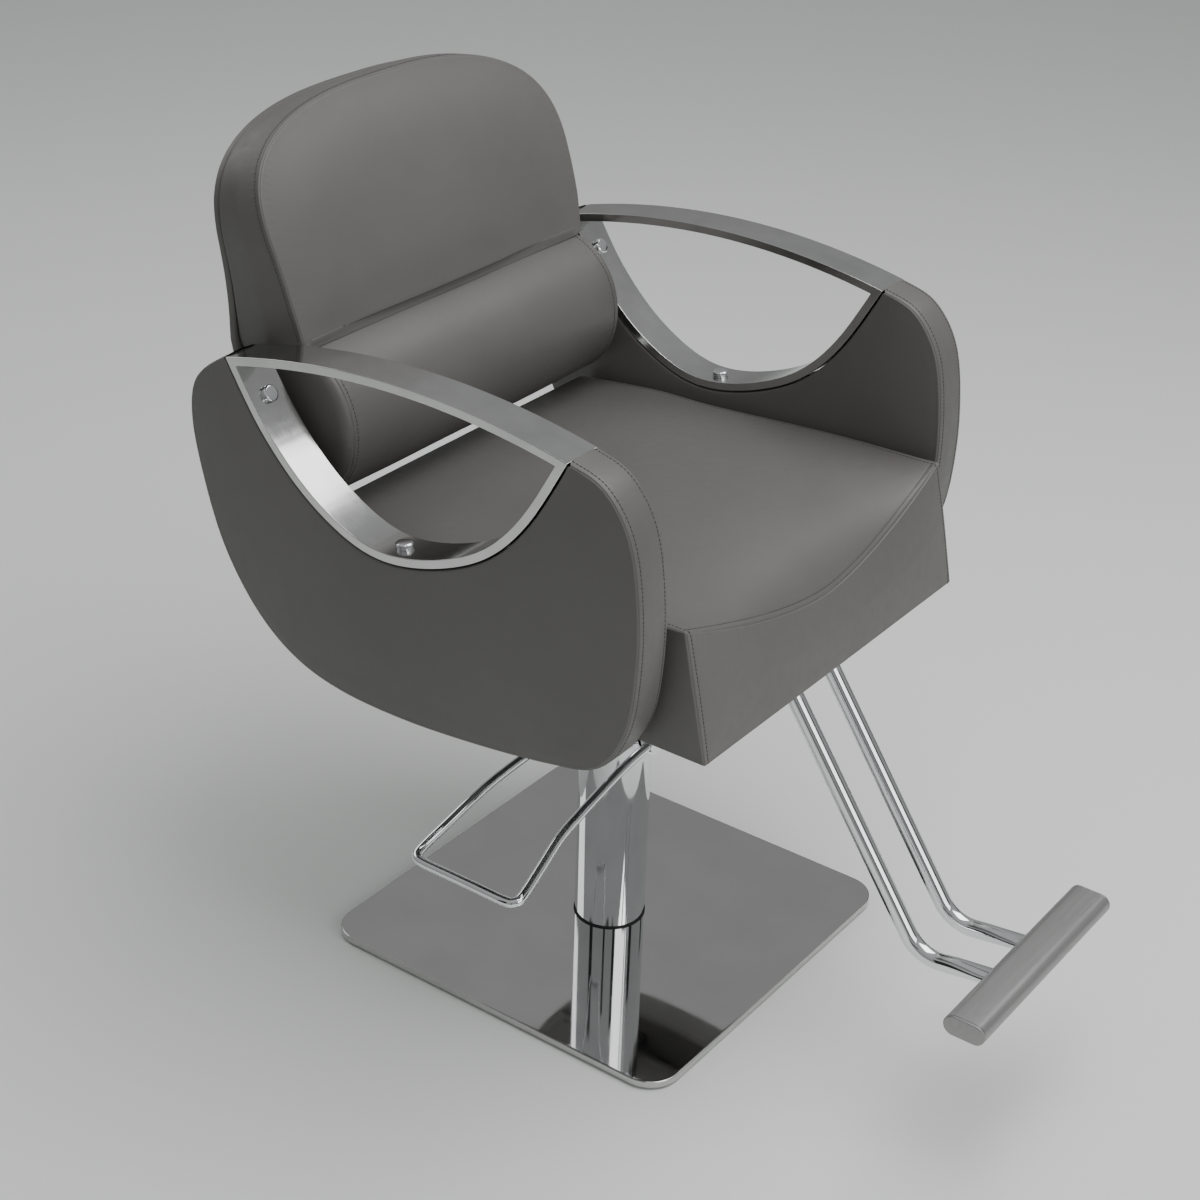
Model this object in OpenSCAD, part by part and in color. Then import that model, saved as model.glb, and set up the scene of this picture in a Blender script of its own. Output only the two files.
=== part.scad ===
// Hydraulic styling chair: square base plate, lifting column with foot pedal, upholstered seat,
// two upholstered side arms with steel armrest bands, lumbar roll, bent back and footrest.
// Millimetres, +Z up, the chair's front faces -Y, origin on the floor under the column's axis.

/* [Base] */
// Side of the square base plate
plate_w = 500; // [460:5:540]
// Corner radius of the base plate
plate_r = 40; // [30:5:60]
// Height of the rubber pads under the plate
pad_t = 3; // [2:0.5:4]
// Thickness of the polished sheet over the ballast
cover_t = 1.5; // [1:0.1:2]
// Thickness of the steel ballast
ballast_t = 7.5; // [6:0.5:9]

/* [Column] */
// Outer radius of the chromed sleeve
sleeve_r = 44; // [43:0.5:46]
// Outer radius of the fixed post inside the sleeve
post_r = 35; // [34:0.5:36]
// Height of the fixed post's top
post_top = 220; // [210:5:225]
// Lift of the seat
lift = 120; // [80:5:125]
// Height of the mounting plate's underside
column_top = 442; // [440:1:442]

/* [Pedal] */
// Height of the pedal's pivot
pivot_z = 277; // [275:1:278]
// Radius of the pedal's rod
rod_r = 6; // [5:0.5:6.5]
// Reach of the pedal's cross bar from the column's axis
pedal_reach = 292; // [270:2:310]

/* [Seat] */
// Half the seat's width
seat_hw = 260.6; // [250:0.2:265]
// Height of the seat's underside
seat_under = 470; // [470:1:470]

/* [Arms] */
// Half the width over both arms
arm_x = 327.3; // [325:0.1:335]
// Thickness of an arm and width of its steel band
arm_t = 50.6; // [50:0.2:52]
// Thickness of the steel band
band_t = 10; // [8:0.5:11]
// Depth of the upholstery over an arm's wooden core
pad_depth = 15.3; // [14:0.1:15.6]

/* [Back] */
// Half the back's widest width
back_hw = 260.6; // [250:0.2:262]
// Lean of the back at its foot, in degrees
back_lean = 11.6; // [9:0.1:13]
// Bend of the back, per millimetre
back_bend = 0.00106; // [0.0008:0.00001:0.0014]
// Thickness of the back at its foot
back_t = 110; // [106:1:114]

/* [Footrest] */
// Radius of the footrest tubes
tube_r = 10.5; // [10:0.5:11]
// Half the footrest bar's length
bar_hl = 152; // [130:1:170]

/* [Hidden] */
$fn = 48;

VINYL = [0.39, 0.38, 0.37];
CHROME = [0.82, 0.83, 0.85];
STEEL = [0.6, 0.6, 0.62];
WOOD = [0.72, 0.56, 0.38];
RUBBER = [0.12, 0.12, 0.12];
BRONZE = [0.72, 0.52, 0.3];
IRON = [0.3, 0.3, 0.32];

over = 1;
// Long enough to cut through the whole chair
through = 600;
run_gap = 0.05;
// Clearance between neighbours, and of a hole around its screw
fit_gap = 0.3;
hole_gap = 0.2;

// Base heights
ballast_top = pad_t + ballast_t;
cover_top = ballast_top + cover_t;
skirt_z = pad_t + 0.5;
pad_r = 15;
pad_off = plate_w / 2 - plate_r;
centre_pad_r = 32;
post_bore = post_r - 4;
foot_plug_t = 16;
bolt_pcr = 20;
m8_r = 4;
m8_head_r = 6.5;
head_sink = 5;
gland_h = 30;
bush_h = 35;

// Column parts
sleeve_bore = sleeve_r - 3;
sleeve_foot = cover_top + 1.5;
rod_body_r = 18;
spigot_r = 12;
ram_foot = 36;
piston_h = 24;
ram_shoulder = post_top + 16;
bearing_h = 9.7;
pump_foot = ram_shoulder + bearing_h + fit_gap;
spigot_top = ram_shoulder + 20;

// Pedal and pump drive
shaft_r = 7;
hub_r = 12;
hub_y0 = sleeve_r + 2;
hub_y1 = hub_y0 + 14;
crank = 22;
crank_tip_r = 5;
crank_hub_r = 13;
crank_hw = 8;
plunger_r = 8;
plunger_foot = pivot_z + crank_tip_r + fit_gap;
plunger_h = 48;
spring_z0 = plunger_foot + plunger_h + fit_gap;
spring_h = 41.4;
chamber_top = spring_z0 + spring_h;
pedal_drop = pivot_z - 214;

// Seat heights
rail_h = 20;
rail_d = 30;
rail_wall = 2;
rail_z = seat_under - rail_h;
plate_t = rail_z - column_top;
rail_y = [-110, 130];
plate_x = 90;
bolt_x = 60;
screw_x = 200;
small_head_r = 6;
small_head_h = 3;
// Wood screws stop this far below the top of the seat board
screw_short = 4;
dust_t = 2;
board_t = 18;
board_z = seat_under + dust_t;
seat_board_x = 245;
seat_board_y = [-270, 244];

// Arm layers
arm_in = arm_x - arm_t;
core_t = arm_t - 2 * pad_depth;
core_x = arm_in + pad_depth;
core_inset = 14;
band_gap = 1.5;
core_band_gap = 12;
screw_r = 3;
screw_head_r = 9.5;
screw_head_h = 5.5;
screw_chamfer = 1.5;
screw_len = 40;
// The band is curved, so the flat head stands this far off its surface
screw_stand = 0.8;

// Back layers
back_foot = [257.2, 790];
// The side view runs on past the top of the outline
back_reach = 1075;
back_tilt = 14;
// The cushion grows thinner towards the top by this much per millimetre
back_taper = 0.22;
// The outline's arch: height of its spring, its rise and its power
arch_spring = 108;
arch_rise = 134;
arch_power = 0.753;
// The outline's foot: how far it is drawn in and how high, at the edge and at the lowest bend
foot_draw = [9, 4];
foot_height = [-12, 30];
board_depth = 86;
back_steps = 15;
back_board_t = 13;
board_inset = 16;
lower_foot = 620;
lower_y = 335;
rail2_z = 700;
rail2_t = 8;
rail2_h = 40;
end_plate_t = 6;
back_bolt_y = 322;
back_bolt_dz = 20;
back_bolt_in = 16;
back_nut_in = 14;
end_plate_reach = 18;
roll_c = [272, 688];
roll_ry = 80;
roll_rz = 90;
roll_hl = 255;
roll_gap = 1;

// Footrest
tube_x = 39;
tube_wall = 1.5;
tube_top_z = 457;
tube_back_y = -145;
bar_c = [-566, 196];
bar_w = 50;
bar_h = 25;
bar_wall = 2;
cap_t = 3;
clamp_y = [-215, -150];
clamp_hx = 62;
clamp_h = 26;
clamp_mid = (clamp_y[0] + clamp_y[1]) / 2;
clamp_screw_x = clamp_hx - 8;
clamp_screw_dy = (clamp_y[1] - clamp_y[0]) / 2 - 10;

// A point on a smooth curve between p1 and p2
function between(p0, p1, p2, p3, t) =
    0.5 * (2 * p1 + (p2 - p0) * t + (2 * p0 - 5 * p1 + 4 * p2 - p3) * t * t
    + (3 * p1 - p0 - 3 * p2 + p3) * t * t * t);

// A smooth open curve through the points, with n steps between neighbours
function smooth(p, n = 6) = let (m = len(p) - 1) [
    for (i = [0 : m - 1], k = [0 : n - 1])
        between(p[max(i - 1, 0)], p[i], p[i + 1], p[min(i + 2, m)], k / n),
    p[m]
];

function unit(v) = v / norm(v);
function turned(v) = [-v[1], v[0]];

// The unit tangent of curve c at its point i
function tangent(c, i) = unit(c[min(i + 1, len(c) - 1)] - c[max(i - 1, 0)]);

// Curve c moved sideways by d, to the left of its own direction
function shifted(c, d) = [for (i = [0 : len(c) - 1]) c[i] + d * turned(tangent(c, i))];

function reversed(c) = [for (i = [len(c) - 1 : -1 : 0]) c[i]];

// Side view of an arm in [y, z]: its outer edge runs from the front tip under to the rear tip
front_tip = [-157, 797];
rear_tip = [301, 784];
arm_edge = smooth([
    front_tip, [-200, 783], [-232, 742], [-246, 680], [-249, 600], [-238, 520], [-203, 465],
    [-140, 446], [-40, 431], [60, 423], [150, 426], [218, 445], [274, 487], [320, 555],
    [348, 640], [358, 705], [346, 750], rear_tip
]);

// The band's lower curve runs from the rear tip down and up to the front tip
band_low = smooth([
    rear_tip, [253, 712], [195, 655], [130, 619], [72, 611], [3, 628], [-60, 662], [-110, 716],
    front_tip
]);
band_rise = 27.5;
band_steps = 24;

// The band's top arc, from the front tip to the rear tip
band_top = [
    for (i = [0 : band_steps])
        let (t = i / band_steps)
        front_tip + (rear_tip - front_tip) * t + [0, 4 * band_rise * t * (1 - t)]
];

// Where the two screws of a band stand, as points of its lower curve
screw_at = [4, 24];

// Side view of the back: the front face's y at height z, and a point at depth t behind it
function back_y(z) = back_foot[0] + tan(back_lean) * (z - back_foot[1])
    + back_bend * pow(z - back_foot[1], 2);
function back_slope(z) = atan(tan(back_lean) + 2 * back_bend * (z - back_foot[1]));
function back_depth(z, t) = t > 0 ? t - back_taper * (z - back_foot[1]) : 0;
function back_at(z, t) = [back_y(z), z] + back_depth(z, t) * [cos(back_slope(z)), -sin(back_slope(z))];
function back_line(t) = [
    for (i = [0 : back_steps]) back_at(back_foot[1] + (back_reach - back_foot[1]) * i / back_steps, t)
];

// Extrudes a side view [y, z] along X, from x0 to x1
module across(x0, x1) {
    translate([x0, 0, 0])
        rotate([90, 0, 90])
            linear_extrude(x1 - x0)
                children();
}

module rounded_square(w, r) {
    hw = w / 2;
    square([w, w - 2 * r], center = true);
    square([w - 2 * r, w], center = true);
    for (sx = [-1, 1], sy = [-1, 1])
        translate([sx * (hw - r), sy * (hw - r)])
            circle(r);
}

module tube(r1, r0, z0, z1) {
    translate([0, 0, z0])
        difference() {
            cylinder(r = r1, h = z1 - z0);
            translate([0, 0, -over])
                cylinder(r = r0, h = z1 - z0 + 2 * over);
        }
}

// A cylinder from point a to point b
module rod(a, b, r) {
    d = b - a;
    translate(a)
        rotate([0, acos(d[2] / norm(d)), atan2(d[1], d[0])])
            cylinder(r = r, h = norm(d));
}

// The ring of points round point i of a path
function ring(path, i, r, sides) =
    let (
        m = len(path),
        d = unit(path[min(i + 1, m - 1)] - path[max(i - 1, 0)]),
        u = unit(cross(d, [0, 0, 1])),
        v = cross(u, d)
    )
    [for (k = [0 : sides - 1]) path[i] + r * (cos(360 * k / sides) * u + sin(360 * k / sides) * v)];

// The wall between two rings of points that start at a and b
function wall(a, b, sides) = [
    for (k = [0 : sides - 1])
        let (j = (k + 1) % sides)
        each [[a + j, a + k, b + k], [a + j, b + k, b + j]]
];

// A round bar, or a tube with the given bore, that follows the points of path
module sweep(path, r, sides, bore = 0) {
    m = len(path);
    last = (m - 1) * sides;
    inner = m * sides;
    outside = [for (i = [0 : m - 1]) each ring(path, i, r, sides)];
    inside = bore > 0 ? [for (i = [0 : m - 1]) each ring(path, i, bore, sides)] : [];
    skin = [for (i = [0 : m - 2]) each wall(i * sides, (i + 1) * sides, sides)];
    bore_skin = [for (i = [0 : m - 2]) each wall(inner + (i + 1) * sides, inner + i * sides, sides)];
    bar_ends = [[for (k = [0 : sides - 1]) k], [for (k = [sides - 1 : -1 : 0]) last + k]];
    tube_ends = concat(wall(inner, 0, sides), wall(last, inner + last, sides));
    polyhedron(
        points = concat(outside, inside),
        faces = bore > 0 ? concat(skin, bore_skin, tube_ends) : concat(skin, bar_ends)
    );
}

module flip(side) {
    mirror([side < 0 ? 1 : 0, 0, 0])
        children();
}

module at_corners(x, y) {
    for (sx = [-1, 1], sy = [-1, 1])
        translate([sx * x, sy * y, 0])
            children();
}

module on_post_bolts() {
    for (a = [45 : 90 : 315])
        rotate(a)
            translate([bolt_pcr, 0, 0])
                children();
}

// ---- Base ----

module base_pads() {
    color(RUBBER) {
        at_corners(pad_off, pad_off)
            cylinder(r = pad_r, h = pad_t);
        cylinder(r = centre_pad_r, h = pad_t);
    }
}

module ballast_plate() {
    w = plate_w - 2 * cover_t - 1;
    color(STEEL)
        difference() {
            translate([0, 0, pad_t])
                linear_extrude(ballast_t)
                    rounded_square(w, plate_r - cover_t);
            on_post_bolts() {
                cylinder(r = m8_r + hole_gap, h = cover_top);
                translate([0, 0, pad_t - over])
                    cylinder(r = m8_head_r + 0.5, h = over + head_sink + fit_gap);
            }
        }
}

module base_cover() {
    color(CHROME)
        difference() {
            translate([0, 0, skirt_z])
                linear_extrude(cover_top - skirt_z)
                    rounded_square(plate_w, plate_r);
            translate([0, 0, skirt_z - over])
                linear_extrude(ballast_top - skirt_z + over)
                    rounded_square(plate_w - 2 * cover_t, plate_r - cover_t);
            cylinder(r = post_r + 0.5, h = cover_top + over);
        }
}

module post_foot() {
    color(STEEL)
        difference() {
            translate([0, 0, ballast_top])
                cylinder(r = post_bore, h = foot_plug_t);
            on_post_bolts()
                cylinder(r = m8_r, h = 40);
        }
}

module post_bolts() {
    color(STEEL)
        on_post_bolts() {
            translate([0, 0, pad_t + hole_gap])
                cylinder(r = m8_head_r, h = head_sink);
            translate([0, 0, pad_t + hole_gap])
                cylinder(r = m8_r, h = foot_plug_t + 4);
        }
}

module post_tube() {
    color(CHROME)
        tube(post_r, post_bore, ballast_top, post_top);
}

module post_gland() {
    color(BRONZE)
        tube(post_bore, rod_body_r + run_gap, post_top - gland_h, post_top);
}

module upper_bush() {
    color(BRONZE)
        tube(sleeve_bore - run_gap, post_r, post_top - bush_h, post_top);
}

module bump_ring() {
    color(RUBBER)
        tube(sleeve_r + 1, post_r + 3, cover_top, sleeve_foot - 0.1);
}

// ---- Ram: rises and sinks, does not turn ----

module ram_rod() {
    color(CHROME) {
        translate([0, 0, ram_foot + piston_h])
            cylinder(r = rod_body_r, h = ram_shoulder - ram_foot - piston_h);
        translate([0, 0, ram_foot])
            cylinder(r = rod_body_r - 8, h = piston_h);
        translate([0, 0, ram_shoulder])
            cylinder(r = spigot_r, h = spigot_top - ram_shoulder);
    }
}

seal_z = 10;
seal_h = 4;
seal_depth = 4;

module ram_piston() {
    color(IRON)
        difference() {
            tube(post_bore - run_gap, rod_body_r - 8, ram_foot, ram_foot + piston_h);
            tube(post_r, post_bore - seal_depth, ram_foot + seal_z, ram_foot + seal_z + seal_h);
        }
}

module piston_seal() {
    color(RUBBER)
        tube(post_bore - 0.02, post_bore - seal_depth, ram_foot + seal_z, ram_foot + seal_z + seal_h);
}

race_t = 3;
race_r0 = 13;
race_r1 = 29;
ball_r = 1.8;

module thrust_bearing() {
    color(STEEL) {
        tube(race_r1, race_r0, ram_shoulder, ram_shoulder + race_t);
        tube(race_r1, race_r0, ram_shoulder + bearing_h - race_t, ram_shoulder + bearing_h);
        for (a = [0 : 30 : 330])
            rotate(a)
                translate([(race_r0 + race_r1) / 2, 0, ram_shoulder + bearing_h / 2])
                    sphere(r = ball_r);
    }
}

// ---- Sleeve and pump: rise and turn with the seat ----

module sleeve() {
    color(CHROME)
        difference() {
            tube(sleeve_r, sleeve_bore, sleeve_foot, column_top);
            translate([0, 0, pivot_z])
                rotate([90, 0, 0])
                    cylinder(r = shaft_r + 1, h = 4 * sleeve_r, center = true);
        }
}

module lower_bush() {
    color(BRONZE)
        tube(sleeve_bore, post_r + run_gap, sleeve_foot + 4, sleeve_foot + 34);
}

module pump_body() {
    cav_x0 = -crank_hub_r - 1;
    cav_x1 = crank + crank_tip_r + 5;
    cav_hy = crank_hw + 2;
    cav_z0 = pivot_z - crank_hub_r - 0.5;
    cav_z1 = pivot_z + crank_hub_r + 4;
    color(IRON)
        difference() {
            translate([0, 0, pump_foot])
                cylinder(r = sleeve_bore, h = column_top - pump_foot);
            translate([0, 0, pump_foot - over])
                cylinder(r = spigot_r + run_gap, h = spigot_top - pump_foot + over + 1);
            translate([0, 0, pivot_z])
                rotate([90, 0, 0])
                    cylinder(r = shaft_r + run_gap, h = 4 * sleeve_r, center = true);
            translate([cav_x0, -cav_hy, cav_z0])
                cube([cav_x1 - cav_x0, 2 * cav_hy, cav_z1 - cav_z0]);
            translate([crank, 0, pivot_z])
                cylinder(r = plunger_r + run_gap, h = chamber_top - pivot_z);
        }
}

coil_r = 5.5;
wire_r = 1;
coil_turns = 6;
coil_steps = 14;
coil_line = [for (i = [0 : coil_turns * coil_steps])
    let (a = 360 * i / coil_steps)
    [crank + coil_r * cos(a), coil_r * sin(a),
        spring_z0 + wire_r + (spring_h - 2 * wire_r) * i / (coil_turns * coil_steps)]];

module pump_spring() {
    color(STEEL)
        sweep(coil_line, wire_r, 8);
}

module mount_plate() {
    y0 = rail_y[0] - rail_d / 2 - 5;
    y1 = rail_y[1] + rail_d / 2 + 5;
    color(STEEL)
        difference() {
            translate([-plate_x, y0, column_top])
                cube([2 * plate_x, y1 - y0, plate_t]);
            for (sx = [-1, 1], y = rail_y)
                translate([sx * bolt_x, y, column_top - over])
                    cylinder(r = m8_r + hole_gap, h = plate_t + 2 * over);
        }
}

module mount_bolts() {
    color(STEEL)
        for (sx = [-1, 1], y = rail_y)
            translate([sx * bolt_x, y, 0]) {
                translate([0, 0, column_top - head_sink])
                    cylinder(r = m8_head_r, h = head_sink, $fn = 6);
                translate([0, 0, column_top - head_sink])
                    cylinder(r = m8_r, h = plate_t + rail_h + head_sink - 3);
            }
}

// ---- Seat ----

plug_l = 26;

module seat_rail() {
    difference() {
        translate([-arm_in, -rail_d / 2, rail_z])
            cube([2 * arm_in, rail_d, rail_h]);
        translate([-arm_in + plug_l, rail_wall - rail_d / 2, rail_z + rail_wall])
            cube([2 * (arm_in - plug_l), rail_d - 2 * rail_wall, rail_h - 2 * rail_wall]);
        for (sx = [-1, 1]) {
            translate([sx * bolt_x, 0, rail_z - over])
                cylinder(r = m8_r + hole_gap, h = rail_h);
            translate([sx * screw_x, 0, rail_z - over])
                cylinder(r = screw_r + hole_gap, h = rail_h + 2 * over);
        }
        translate([0, 0, rail_z + rail_h / 2])
            rotate([0, 90, 0])
                cylinder(r = m8_r, h = 3 * arm_x, center = true);
    }
}

module seat_rails() {
    color(STEEL)
        for (y = rail_y)
            translate([0, y, 0])
                seat_rail();
}

module at_seat_screws() {
    for (sx = [-1, 1], y = rail_y)
        translate([sx * screw_x, y, 0])
            children();
}

module at_clamp_screws() {
    for (sx = [-1, 1], sy = [-1, 1])
        translate([sx * clamp_screw_x, clamp_mid + sy * clamp_screw_dy, 0])
            children();
}

// A wood screw that goes up into the seat board, its head under a part at height z
module board_screw(z) {
    translate([0, 0, z - small_head_h])
        cylinder(r = small_head_r, h = small_head_h);
    translate([0, 0, z - small_head_h])
        cylinder(r = screw_r, h = board_z + board_t - screw_short - z + small_head_h);
}

module seat_screws() {
    color(STEEL)
        at_seat_screws()
            board_screw(rail_z);
}

module seat_screw_holes(r) {
    h = board_z + board_t - screw_short - rail_z;
    at_seat_screws()
        translate([0, 0, rail_z])
            cylinder(r = r, h = h);
    at_clamp_screws()
        translate([0, 0, rail_z])
            cylinder(r = r, h = h);
}

module seat_board() {
    color(WOOD)
        difference() {
            translate([-seat_board_x, seat_board_y[0], board_z])
                cube([2 * seat_board_x, seat_board_y[1] - seat_board_y[0], board_t]);
            seat_screw_holes(screw_r);
        }
}

module dust_cover() {
    color(RUBBER)
        difference() {
            translate([-seat_board_x, seat_board_y[0], seat_under])
                cube([2 * seat_board_x, seat_board_y[1] - seat_board_y[0], dust_t]);
            seat_screw_holes(screw_r + hole_gap);
        }
}

seat_side = smooth([[-293, seat_under], [-284, 520], [-273, 562], [-255, 588], [-205, 604], [-110, 613],
    [20, 606], [140, 597], [225, 588], [252, 577], [262, 552]], 4);

module seat_cushion() {
    color(VINYL)
        difference() {
            across(-seat_hw, seat_hw)
                polygon(concat([[262, seat_under]], reversed(seat_side)));
            translate([-seat_board_x - 1, seat_board_y[0] - 1, seat_under - over])
                cube([2 * seat_board_x + 2, seat_board_y[1] - seat_board_y[0] + 2,
                    over + dust_t + board_t + fit_gap]);
        }
}

// ---- Arms ----

// Everything above the band's lower curve, moved out by gap
module above_band(gap) {
    c = shifted(band_low, gap);
    polygon(concat([[c[0][0], 900]], c, [[c[len(c) - 1][0], 900]]));
}

module arm_shape() {
    difference() {
        polygon(arm_edge);
        above_band(band_gap);
    }
}

module core_shape() {
    difference() {
        polygon(shifted(arm_edge, core_inset));
        above_band(core_band_gap);
    }
}

// Holes along X for the bolts into the seat rails and the back rail
module arm_bolt_holes(r) {
    for (y = rail_y)
        translate([0, y, rail_z + rail_h / 2])
            rotate([0, 90, 0])
                cylinder(r = r, h = arm_x);
    for (s = [-1, 1])
        translate([0, back_bolt_y, rail2_z + s * back_bolt_dz])
            rotate([0, 90, 0])
                cylinder(r = r, h = arm_x);
}

// Puts children at each band screw, with +Z out of the band into the opening
module at_band_screws() {
    for (i = screw_at) {
        t = tangent(band_low, i);
        n = -turned(t);
        translate([arm_x - arm_t / 2, band_low[i][0], band_low[i][1]])
            rotate([-atan2(n[0], n[1]), 0, 0])
                children();
    }
}

module band_screw_holes(r) {
    at_band_screws()
        translate([0, 0, band_t - screw_len])
            cylinder(r = r, h = screw_len + over);
}

module arm_core(side) {
    color(WOOD)
        flip(side)
            difference() {
                across(core_x, core_x + core_t)
                    core_shape();
                arm_bolt_holes(m8_r + hole_gap);
                translate([core_x + core_t - head_sink - hole_gap, 0, 0])
                    arm_bolt_holes(m8_head_r + 0.5);
                band_screw_holes(screw_r);
            }
}

module arm_outer_pad(side) {
    color(VINYL)
        flip(side)
            across(core_x + core_t, arm_x)
                arm_shape();
}

module arm_inner_pad(side) {
    color(VINYL)
        flip(side)
            difference() {
                across(arm_in, core_x)
                    arm_shape();
                arm_bolt_holes(m8_r + fit_gap);
            }
}

module arm_boxing(side) {
    color(VINYL)
        flip(side)
            difference() {
                across(core_x, core_x + core_t)
                    difference() {
                        arm_shape();
                        core_shape();
                    }
                arm_bolt_holes(m8_head_r + 0.5);
                band_screw_holes(screw_r + fit_gap);
            }
}

module arm_band(side) {
    low_in = shifted(band_low, -band_t);
    top_in = shifted(band_top, -band_t);
    color(CHROME)
        flip(side)
            difference() {
                across(arm_in, arm_x)
                    polygon(concat(band_top, band_low));
                across(arm_in - over, arm_x + over)
                    intersection() {
                        polygon(concat([[low_in[0][0] + 60, 900]], low_in, [[front_tip[0] - 60, 900]]));
                        polygon(concat([[front_tip[0] - 60, 500]], top_in, [[rear_tip[0] + 60, 500]]));
                    }
                band_screw_holes(screw_r + hole_gap);
            }
}

module band_screws(side) {
    color(CHROME)
        flip(side)
            at_band_screws() {
                translate([0, 0, band_t + screw_stand])
                    cylinder(r = screw_head_r, h = screw_head_h - screw_chamfer);
                translate([0, 0, band_t + screw_stand + screw_head_h - screw_chamfer])
                    cylinder(r1 = screw_head_r, r2 = screw_head_r - screw_chamfer, h = screw_chamfer);
                translate([0, 0, band_t + 1 - screw_len])
                    cylinder(r = screw_r, h = screw_len);
            }
}

module arm_bolt(tip) {
    translate([core_x + core_t - head_sink, 0, 0])
        rotate([0, 90, 0])
            cylinder(r = m8_head_r, h = head_sink);
    translate([tip, 0, 0])
        rotate([0, 90, 0])
            cylinder(r = m8_r, h = core_x + core_t - tip);
}

module arm_bolts() {
    color(STEEL)
        for (side = [-1, 1], y = rail_y)
            flip(side)
                translate([0, y, rail_z + rail_h / 2])
                    arm_bolt(arm_in - plug_l);
}

// ---- Back ----

module back_rail() {
    x = arm_in - end_plate_t;
    y0 = lower_y + back_board_t;
    color(STEEL)
        difference() {
            union() {
                translate([-x, y0, rail2_z - rail2_h / 2])
                    cube([2 * x, rail2_t, rail2_h]);
                for (s = [-1, 1])
                    translate([s > 0 ? x : -arm_in, back_bolt_y - end_plate_reach, rail2_z - rail2_h])
                        cube([end_plate_t, y0 + rail2_t - back_bolt_y + end_plate_reach, 2 * rail2_h]);
            }
            for (side = [-1, 1])
                flip(side)
                    arm_bolt_holes(m8_r + hole_gap);
        }
}

module back_bolts() {
    color(STEEL)
        for (side = [-1, 1], s = [-1, 1])
            flip(side)
                translate([0, back_bolt_y, rail2_z + s * back_bolt_dz]) {
                    arm_bolt(arm_in - back_bolt_in);
                    translate([arm_in - back_nut_in, 0, 0])
                        rotate([0, 90, 0])
                            cylinder(r = m8_head_r, h = back_nut_in - end_plate_t, $fn = 6);
                }
}

// The back's outline seen square on to its tilt, drawn in by d
module back_outline(d) {
    w = back_hw - d;
    h = arch_rise - d;
    right = concat(
        [for (i = [0, 1]) [w - foot_draw[i], foot_height[i]]],
        [for (a = [0 : 6 : 90]) [w * pow(cos(a), arch_power), arch_spring + h * pow(sin(a), arch_power)]]
    );
    polygon(concat(right, reversed([for (p = right) [-p[0], p[1]]])));
}

module back_slab(t0, t1, d) {
    intersection() {
        across(-back_hw, back_hw)
            polygon(concat(back_line(t0), reversed(back_line(t1))));
        translate([0, back_foot[0], back_foot[1]])
            rotate([90 - back_tilt, 0, 0])
                linear_extrude(through, center = true)
                    back_outline(d);
    }
}

// The flat stretch of board or cover behind the lumbar roll, from y0 to y1 at its foot
module lower_slab(hw, y0, y1, t0, t1) {
    across(-hw, hw)
        polygon([[y0, lower_foot], [y0, rail2_z + rail2_h], back_at(back_foot[1], t0),
            back_at(back_foot[1], t1), [y1, rail2_z + rail2_h], [y1, lower_foot]]);
}

module back_board() {
    color(WOOD) {
        back_slab(board_depth, board_depth + back_board_t, board_inset);
        lower_slab(back_hw - board_inset - foot_draw[0], lower_y, lower_y + back_board_t,
            board_depth, board_depth + back_board_t);
    }
}

module back_cushion() {
    color(VINYL)
        difference() {
            back_slab(0, board_depth + back_board_t, 0);
            back_slab(board_depth, board_depth + back_board_t, board_inset);
        }
}

module back_cover() {
    y0 = lower_y + back_board_t;
    color(VINYL)
        difference() {
            union() {
                back_slab(board_depth + back_board_t, back_t, 0);
                lower_slab(back_hw - foot_draw[0], y0, y0 + back_t - board_depth - back_board_t,
                    board_depth + back_board_t, back_t);
            }
            translate([-arm_x, y0 - over, rail2_z - rail2_h / 2 - 0.5])
                cube([2 * arm_x, rail2_t + over + fit_gap, rail2_h + 1]);
        }
}

module lumbar_roll() {
    color(VINYL)
        across(-roll_hl, roll_hl)
            intersection() {
                polygon([for (a = [0 : 6 : 354]) roll_c + [roll_ry * cos(a), roll_rz * sin(a)]]);
                square([lower_y - roll_gap, back_reach]);
            }
}

// ---- Footrest ----

// Centre line of a footrest tube in [y, z]: back end, upper bend, lower bend, bar end
tube_path = [[tube_back_y, tube_top_z], [-255, tube_top_z], [-451, 174], [-548, 188]];
tube_bend = [0, 40, 45, 0];
bend_steps = 8;

// How far a bend reaches along its two straights
function cut_back(i) =
    let (a = unit(tube_path[i] - tube_path[i - 1]), b = unit(tube_path[i + 1] - tube_path[i]))
    tube_bend[i] * tan(acos(a * b) / 2);

// The arc of bend i, in steps
function bend_arc(i) =
    let (
        a = unit(tube_path[i] - tube_path[i - 1]),
        b = unit(tube_path[i + 1] - tube_path[i]),
        side = sign(a[0] * b[1] - a[1] * b[0]),
        c = tube_path[i] - a * cut_back(i) + side * tube_bend[i] * turned(a),
        start = atan2(-side * turned(a)[1], -side * turned(a)[0])
    )
    [for (k = [0 : bend_steps])
        c + tube_bend[i] * [cos(start + side * acos(a * b) * k / bend_steps),
            sin(start + side * acos(a * b) * k / bend_steps)]];

tube_line = [
    for (p = concat([tube_path[0]], bend_arc(1), bend_arc(2), [tube_path[3]])) [0, p[0], p[1]]
];

module footrest_tube(side) {
    color(CHROME)
        translate([side * tube_x, 0, 0])
            sweep(tube_line, tube_r, 24, tube_r - tube_wall);
}

module bar_section(d) {
    r = bar_h / 2 - d;
    square([bar_w - bar_h, 2 * r], center = true);
    for (s = [-1, 1])
        translate([s * (bar_w - bar_h) / 2, 0])
            circle(r);
}

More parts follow.
